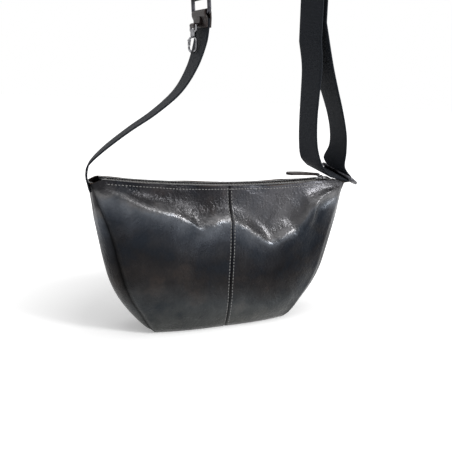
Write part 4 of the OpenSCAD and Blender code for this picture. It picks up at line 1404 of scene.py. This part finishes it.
@dataclass
class Strap:
    """All the webbing and the leather that is sewn to it, in millimetres."""

    route: StrapRoute
    webbing: bpy.types.Material
    leather: bpy.types.Material
    trim: bpy.types.Material
    width: float = 38.0
    thickness: float = 1.6
    # Width, thickness and rounding of the sewn end and the three leather tabs
    sewn_band: tuple = (38.0, 1.55, 0.3)
    end_band: tuple = (36.4, 1.55, 0.35)
    corner_band: tuple = (26.4, 1.5, 0.35)
    hook_band: tuple = (11.2, 1.0, 0.25)
    # Lean in degrees of the gusset's face at the right corner
    corner_fall: float = 19.7

    @staticmethod
    def band(name: str, stations: Sequence[np.ndarray], sizes: Sequence[float]) -> bpy.types.Object:
        """Make a flat band along a route, with rounded long edges.

        Args:
            name: Name of the piece.
            stations: Its route.
            sizes: Its width, its thickness and the radius of its edges in millimetres.

        Returns:
            The band, not yet dressed.
        """
        width, wall, rounding = sizes
        item = cloth_grid(name, *ribbon_net(stations, width))
        round_band(item, wall, rounding)
        return item

    def build(self) -> None:
        """Make the strap's strands, tabs and the adjuster's sewn end."""
        route, sizes = self.route, (self.width, self.thickness, 0.4)
        main = self.band("strap_main_webbing", route.strap(), sizes)
        dress(main, self.webbing, "bag", Slot.WEBBING, "strap_webbing")
        lower = self.band("strap_lower_webbing", route.lower(), sizes)
        dress(lower, self.webbing, "bag", Slot.WEBBING, "lower_webbing")
        back = self.band("strap_return_webbing", route.returned(), sizes)
        back.data.materials.append(self.webbing)
        ends = [to_row(p[:3]) for p in (route.returned()[8], route.returned()[-1])]
        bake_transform(back)
        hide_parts("return_strand")
        self.adjuster_end()
        self.end_tab()
        self.corner_tab()
        self.hook_strap()

    def adjuster_end(self) -> None:
        """Make the sewn webbing end round the adjuster's centre bar."""
        route = self.route
        lean = Matrix.Rotation(math.radians(route.strand_yaw), 3, "Z")
        lean = lean @ Matrix.Rotation(math.radians(-route.strand_lean), 3, "Y")
        # Half the webbing and a gap lie between the strand's middle and the loop
        centre = 0.8 + 0.3 + route.loop
        radius = 3.0
        points = (
            [(0.05, -29.5), (0.05, -18), (0, -9), (-1.4, -4.5), (-radius, -1.2)]
            + arc_points(radius, 180, 0, 13)
            + [(radius, -1.5), (2.3, -5), (1.65, -9), (1.65, -18), (1.65, -29.5)]
        )
        stations = [
            station(route.adjuster + np.array(lean @ Vector((centre + x, 0, z))), route.strand_yaw)
            for x, z in points
        ]
        item = self.band("adjuster_sewn_webbing", stations, self.sewn_band)
        dress(item, self.webbing, "adjuster", Slot.WEBBING, "adjuster_loop")

    def end_tab(self) -> None:
        """Make the leather tab folded over the end ring's lower bar and the webbing."""
        # Middle of the webbing beside the bar, and how far each ply of the tab lies from it
        web = 1.6
        half = 1.1 + 0.8
        points = (
            [(web - half, -14), (web - half, -9), (web - half - 0.4, -5.6), (-2.4, -2.6)]
            + arc_points(2.9, 176, 10, 15)
            + [(web + half - 0.3, -2.4), (web + half, -5.6), (web + half, -9), (web + half, -14)]
        )
        stations = [station(self.route.end_bar + (x, 0, z)) for x, z in points]
        item = self.band("end_tab_leather", self.route.run(stations, 3), self.end_band)
        dress(item, self.trim, "bag", Slot.TRIM, "end_tab")

    def beside_gusset(self, x: float, z: float) -> np.ndarray:
        """Narrow station beside the gusset's top at the right corner.

        Args:
            x: Distance outward from its leaning face.
            z: Distance up along that face.

        Returns:
            The station.
        """
        fall = math.radians(self.corner_fall)
        corner = np.array([self.route.half_width + 0.3, 0, self.route.corner])
        out = np.array([math.cos(fall), 0, -math.sin(fall)])
        up = np.array([math.sin(fall), 0, math.cos(fall)])
        return station(corner + x * out + z * up, wide=0.54)

    def corner_tab(self) -> None:
        """Make the corner ring's leather tab: a loop and two plies sewn to the gusset's outside."""
        route = self.route
        heights = (-11.2, -7, -3, 0)
        stations = [self.beside_gusset(0.8, z) for z in heights]
        stations.append(route.on_ring(route.tab_bar, -2.0, -3.6, 0.82))
        stations += [route.on_ring(route.tab_bar, x, z) for x, z in arc_points(2.9, 195, -15, 17)]
        stations.append(route.on_ring(route.tab_bar, 2.2, -3.4, 0.82))
        stations += [self.beside_gusset(2.45, z) for z in reversed(heights)]
        item = self.band("corner_tab_leather", route.run(stations, 3), self.corner_band)
        dress(item, self.leather, "bag", Slot.LEATHER, "corner_tab")

    def hook_strap(self) -> None:
        """Make the narrow leather strap that carries the hook's eye."""
        face = 6.2
        points = (
            [(face - 1.7, 8.4), (face - 1.7, 3.2), (2.4, 1.9)]
            + arc_points(1.85, 110, 330, 15)
            + [(face - 1.2, 0.6), (face - 0.55, 3.2), (face - 0.55, 8.4)]
        )
        eye = self.route.end_bar - (7.6, 0, 12.2)
        stations = [station(eye + (x, 0, z)) for x, z in points]
        item = self.band("hook_strap_leather", self.route.run(stations, 3), self.hook_band)
        dress(item, self.trim, "bag", Slot.TRIM, "hook_strap")


@dataclass
class ZipPull:
    """The leather tongue on the zip's pull ring, in millimetres."""

    trim: bpy.types.Material
    form: BagForm
    length: float = 40.0
    width: float = 11.0
    thickness: float = 2.6
    slider_x: float = 124.0
    rounding: float = 0.6
    # Tongue's length behind the ring's bar, and that bar's distance from the ring's pivot
    back: float = 3.2
    ring: float = 7.5
    # Degrees by which the ring leans back from upright and the tongue rises from level
    ring_lean: float = 60.0
    rise: float = 2.0

    @property
    def bar(self) -> np.ndarray:
        """Place of the ring's bar that carries the tongue.

        Returns:
            The place in millimetres.
        """
        radius, shift = self.form.zip_radius, self.form.zip_shift
        a = math.asin((self.slider_x - shift) / radius)
        # Half a tooth, a gap, the slider's plate and the ring's seat lead up to the ring's pivot
        reach = radius - (1.2 + 0.3 + 1.1 + 1.3)
        pivot = np.array([shift + reach * math.sin(a), 0, self.form.mouth + radius - reach * math.cos(a)])
        lean = a + math.radians(self.ring_lean)
        return pivot + self.ring * np.array([-math.sin(lean), 0, math.cos(lean)])

    def build(self) -> None:
        """Make the tongue: two skins sewn together, narrow at the bar and round at the tip."""
        bar, rise, back = self.bar, math.radians(self.rise), self.back
        reach = np.linspace(0, 1, 46) * (self.length + back) - back
        tip = np.clip((self.length - reach) / (self.width / 2), 0, 1)
        profile = hermite(reach, (-back, 2, 8, 16, self.length), (6.2, 6.2, 7.6, self.width, self.width))
        width = profile * np.sqrt(np.clip(1 - (1 - tip) ** 2, 0.02, 1))
        stations = []
        for r, w in zip(reach, width):
            lift = 0.9 * math.sin(max(r, 0) / self.length * math.pi)
            x = bar[0] - r * math.cos(rise) + lift * math.sin(rise)
            z = bar[2] + r * math.sin(rise) + lift * 0.6
            stations.append(station((x, 0, z), wide=w / self.width))
        item = cloth_grid("tongue_leather", *ribbon_net(stations, self.width, 9))
        round_band(item, self.thickness, self.rounding, 55)
        dress(item, self.trim, "tongue", Slot.TRIM, "zip_pull_tongue")


@dataclass
class Thread:
    """Stitches in millimetres: one capsule, modelled once and copied along each row."""

    material: bpy.types.Material
    length: float = 2.4
    radius: float = 0.46
    pitch: float = 3.6
    # Half the length of line over which a stitch's direction is read
    half_span: float = 0.6

    def capsule(self) -> tuple[np.ndarray, list[tuple[int, ...]]]:
        """Make one stitch as a short round-ended thread.

        Returns:
            Its points in millimetres along X, and its faces.
        """
        deselect_all()
        bpy.ops.mesh.primitive_uv_sphere_add(segments=6, ring_count=5, radius=1.0)
        item = bpy.context.active_object
        x, y, z = np.array([v.co[:] for v in item.data.vertices]).T
        # A new sphere's faces come in another order from run to run, so they are put in one order
        faces = sorted(tuple(p.vertices) for p in item.data.polygons)
        straight = np.sign(z) * (self.length / 2 - self.radius)
        points = np.stack([z * self.radius + straight, x * self.radius, y * self.radius], axis=1)
        make_active(item)
        bpy.ops.object.delete()
        return points, faces

    def row(self, line: np.ndarray, out: np.ndarray, sink: float = 0.12) -> list[np.ndarray]:
        """Place stitches along a line on a surface.

        Args:
            line: Points of the line in millimetres.
            out: Outward directions at those points.
            sink: How deep the thread lies in the leather.

        Returns:
            One 4 by 3 array for each stitch: its middle and its three directions.
        """
        steps = np.linalg.norm(np.diff(line, axis=0), axis=1)
        length = np.concatenate([[0], np.cumsum(steps)])
        frames = []
        for place in np.arange(self.pitch / 2, length[-1], self.pitch):
            first, last = (
                np.array([np.interp(place + d, length, line[:, k]) for k in range(3)])
                for d in (-self.half_span, self.half_span)
            )
            up = np.array([np.interp(place, length, out[:, k]) for k in range(3)])
            along = last - first
            along /= np.linalg.norm(along)
            up -= along * (up @ along)
            up /= np.linalg.norm(up)
            middle = (first + last) / 2 + up * (self.radius - sink - 0.2)
            frames.append(np.stack([middle, along, np.cross(up, along), up]))
        return frames

    def sew(self, name: str, frames: Sequence[np.ndarray]) -> None:
        """Make one piece on the bag of all the stitches of some rows.

        Args:
            name: Name of the piece.
            frames: Middles and directions of the stitches.
        """
        points, faces = self.capsule()
        places = np.concatenate([f[0] + points @ f[1:] for f in frames])
        polygons = [tuple(i + k * len(points) for i in face) for k in range(len(frames)) for face in faces]
        data = bpy.data.meshes.new(name)
        data.from_pydata(to_row(places).tolist(), [], polygons)
        item = bpy.data.objects.new(name, data)
        bpy.context.scene.collection.objects.link(item)
        face_outward(item)
        smooth_edges(item, 70)
        dress(item, self.material, "bag", Slot.WEBBING)


@dataclass
class Stitching:
    """The rows that show: beside the middle seams, along the rim and on the bands beside the zip."""

    shell: LeatherShell
    thread: Thread
    # Millimetres from the middle seam and from the zip to their rows, and half length of the zip's rows
    seam_gap: float = 2.35
    zip_gap: float = 6.3
    zip_half: float = 132.0
    # Level of the row along the rim, and step in shares at which a panel's slope is read
    rim_level: float = 0.978
    step: float = 0.004

    def on_panel(self, face: Face, u: np.ndarray, v: np.ndarray) -> tuple[np.ndarray, np.ndarray]:
        """Line on a panel and its outward directions.

        Args:
            face: Front or back.
            u: Width shares along the line.
            v: Height shares along the line.

        Returns:
            Points and directions.
        """
        line, out = [], []
        for a, b in zip(u, v):
            near = np.array([a - self.step, a, a + self.step])
            tall = np.array([max(b - self.step, 0), b, min(b + self.step, 1)])
            net = self.shell.panel_net(face, near, tall)
            normal = np.cross(net[1, 2] - net[1, 0], net[2, 1] - net[0, 1])
            normal /= np.linalg.norm(normal)
            line.append(net[1, 1])
            out.append(normal * (1 if normal[1] * face.value > 0 else -1))
        return np.array(line), np.array(out)

    def build(self) -> None:
        """Sew the visible rows."""
        form, thread = self.shell.form, self.thread
        for face in Face:
            v = np.linspace(0.015, 0.985, 60)
            seam: list[np.ndarray] = []
            for side in (-1, 1):
                seam += thread.row(*self.on_panel(face, side * self.seam_gap / form.outline(v), v))
            thread.sew(f"seam_thread_{face.word}", seam)
            u = np.linspace(-0.9, 0.9, 120)
            line, out = self.on_panel(face, u, np.full(len(u), self.rim_level))
            thread.sew(f"rim_thread_{face.word}", thread.row(line, out))
            x = np.linspace(-self.zip_half, self.zip_half, 130)
            line = np.stack([x, np.full(len(x), face.value * self.zip_gap), form.height(x, 1.8)], axis=1)
            out = np.tile(np.array([0.0, 0.0, 1.0]), (len(x), 1))
            thread.sew(f"band_thread_{face.word}", thread.row(line, out, 0.2))


@dataclass
class Hardware:
    """Metal solids that stay, dressed by where they sit."""

    gunmetal: bpy.types.Material
    bright: bpy.types.Material
    zip_metal: bpy.types.Material
    dark_nodes: tuple = ("corner_ring", "end_ring", "adjuster_frame")
    bright_nodes: tuple = (
        *("zip_slider", "zip_pull_ring"),
        *("hook_eye", "hook_body", "hook_gate", "hook_gate_pin"),
    )
    zip_nodes: tuple = ("zip_teeth_front", "zip_teeth_back", "zip_bottom_stop", "zip_top_stops")

    def build(self) -> None:
        """Give each metal solid its plating."""
        for names, material in (
            (self.dark_nodes, self.gunmetal),
            (self.bright_nodes, self.bright),
            (self.zip_nodes, self.zip_metal),
        ):
            for name in names:
                item = frame["nodes"][name]
                item.data.materials.clear()
                item.data.materials.append(material)
                LOG.info("%s: %s", name, material.name)


@dataclass
class Studio:
    """White sweep, soft lamps and the camera of the photograph."""

    paper: bpy.types.Material
    azimuth: float = -24.48
    elevation: float = 14.93
    roll: float = 3.52
    distance: float = 649.05
    focal_px: float = 574.38
    photo_px: float = 452.0
    sensor: float = 36.0
    target: tuple = (4.48, 0.0, 112.07)
    # Middle of the bag in metres, where the lamps aim
    bag: tuple = (0.0, 0.0, -0.55)

    def camera(self) -> None:
        """Set the camera at the photograph's viewing angle."""
        a, e, r = (math.radians(v) for v in (self.azimuth, self.elevation, self.roll))
        back = Vector((math.sin(a) * math.cos(e), -math.cos(a) * math.cos(e), math.sin(e)))
        target = Vector(to_row(np.array(self.target)))
        right = (-back).cross(Vector((0, 0, 1))).normalized()
        up = right.cross(-back)
        x_axis = right * math.cos(r) + up * math.sin(r)
        y_axis = up * math.cos(r) - right * math.sin(r)
        data = bpy.data.cameras.new("photo_camera")
        data.sensor_width = self.sensor
        data.lens = self.focal_px / self.photo_px * self.sensor
        data.clip_end = 50.0
        item = bpy.data.objects.new("photo_camera", data)
        matrix = Matrix((x_axis, y_axis, back)).transposed().to_4x4()
        matrix.translation = target + back * self.distance / 1000
        item.matrix_world = matrix
        bpy.context.scene.collection.objects.link(item)
        bpy.context.scene.camera = item

    def sweep(self) -> None:
        """Lay the paper under and behind the bag."""
        deselect_all()
        bpy.ops.mesh.primitive_plane_add(size=9.0, location=(0, 0, -HANG / 1000 - 0.0006))
        floor = bpy.context.active_object
        floor.name = "paper_sweep"
        edit_all(floor, bpy.ops.mesh.subdivide, number_cuts=6)
        bpy.ops.object.transform_apply(location=True, rotation=True, scale=True)
        floor.data.materials.append(self.paper)

    def lamp(self, name: str, place: Sequence[float], size: Sequence[float], power: float) -> None:
        """Hang one soft lamp that looks at the bag.

        Args:
            name: Name of the lamp.
            place: Its place in metres.
            size: Width and height in metres.
            power: Power in watts.
        """
        data = bpy.data.lights.new(name, "AREA")
        data.shape = "RECTANGLE"
        data.size, data.size_y = size
        data.energy = power
        item = bpy.data.objects.new(name, data)
        turn = (Vector(self.bag) - Vector(place)).to_track_quat("-Z", "Y")
        item.matrix_world = Matrix.Translation(Vector(place)) @ turn.to_matrix().to_4x4()
        bpy.context.scene.collection.objects.link(item)

    def world(self) -> None:
        """Dim grey room, white where the camera or a mirror sees it."""
        world = bpy.data.worlds.new("studio_room")
        bpy.context.scene.world = world
        world.use_nodes = True
        tree = world.node_tree
        level = add_node(tree, "MapRange", {"To Min": 0.3, "To Max": 1.0}, {"Value": shown(tree)})
        wire(tree.nodes["Background"], {"Color": (1.0, 1.0, 1.0, 1.0)}, {"Strength": level})

    def build(self) -> None:
        """Set up the whole studio."""
        self.camera()
        self.sweep()
        self.world()
        self.lamp("overhead_softbox", (-0.05, -0.15, 0.45), (0.9, 0.7), 4.5)
        self.lamp("right_front_softbox", (0.63, -0.75, 0.14), (0.22, 0.22), 7.5)
        self.lamp("right_window", (0.95, -0.95, -0.12), (0.7, 0.7), 5.0)
        bpy.context.scene.view_settings.view_transform = "Standard"


def main() -> None:
    """Build the studio, then every piece of the bag in order."""
    logging.basicConfig(level=logging.INFO, format="%(message)s")
    Studio(StudioWhite().build()).build()
    form = BagForm()
    leather = WaxedLeather().build()
    edge = RawEdge().build()
    trim = TrimLeather().build()
    webbing = PolyesterWebbing().build()
    shell = LeatherShell(form, leather, edge)
    shell.build(
        Cloth("lining_cotton_twill", "#2b2723", "#3b3630").build(),
        Cloth("zip_tape_polyester", "#121214", "#26262a", 0.7).build(),
    )
    Strap(StrapRoute(), webbing, leather, trim).build()
    ZipPull(trim, form).build()
    Stitching(shell, Thread(LinenThread().build())).build()
    Hardware(
        PlatedMetal("gunmetal_plated_zinc", "#303033", "#4b4b50", 0.3).build(),
        PlatedMetal("nickel_plated_steel", "#68686b", "#949497", 0.22).build(),
        PlatedMetal("antique_zip_brass", "#4a4540", "#6b655e", 0.35).build(),
    ).build()
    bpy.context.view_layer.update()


if __name__ == "__main__":
    main()
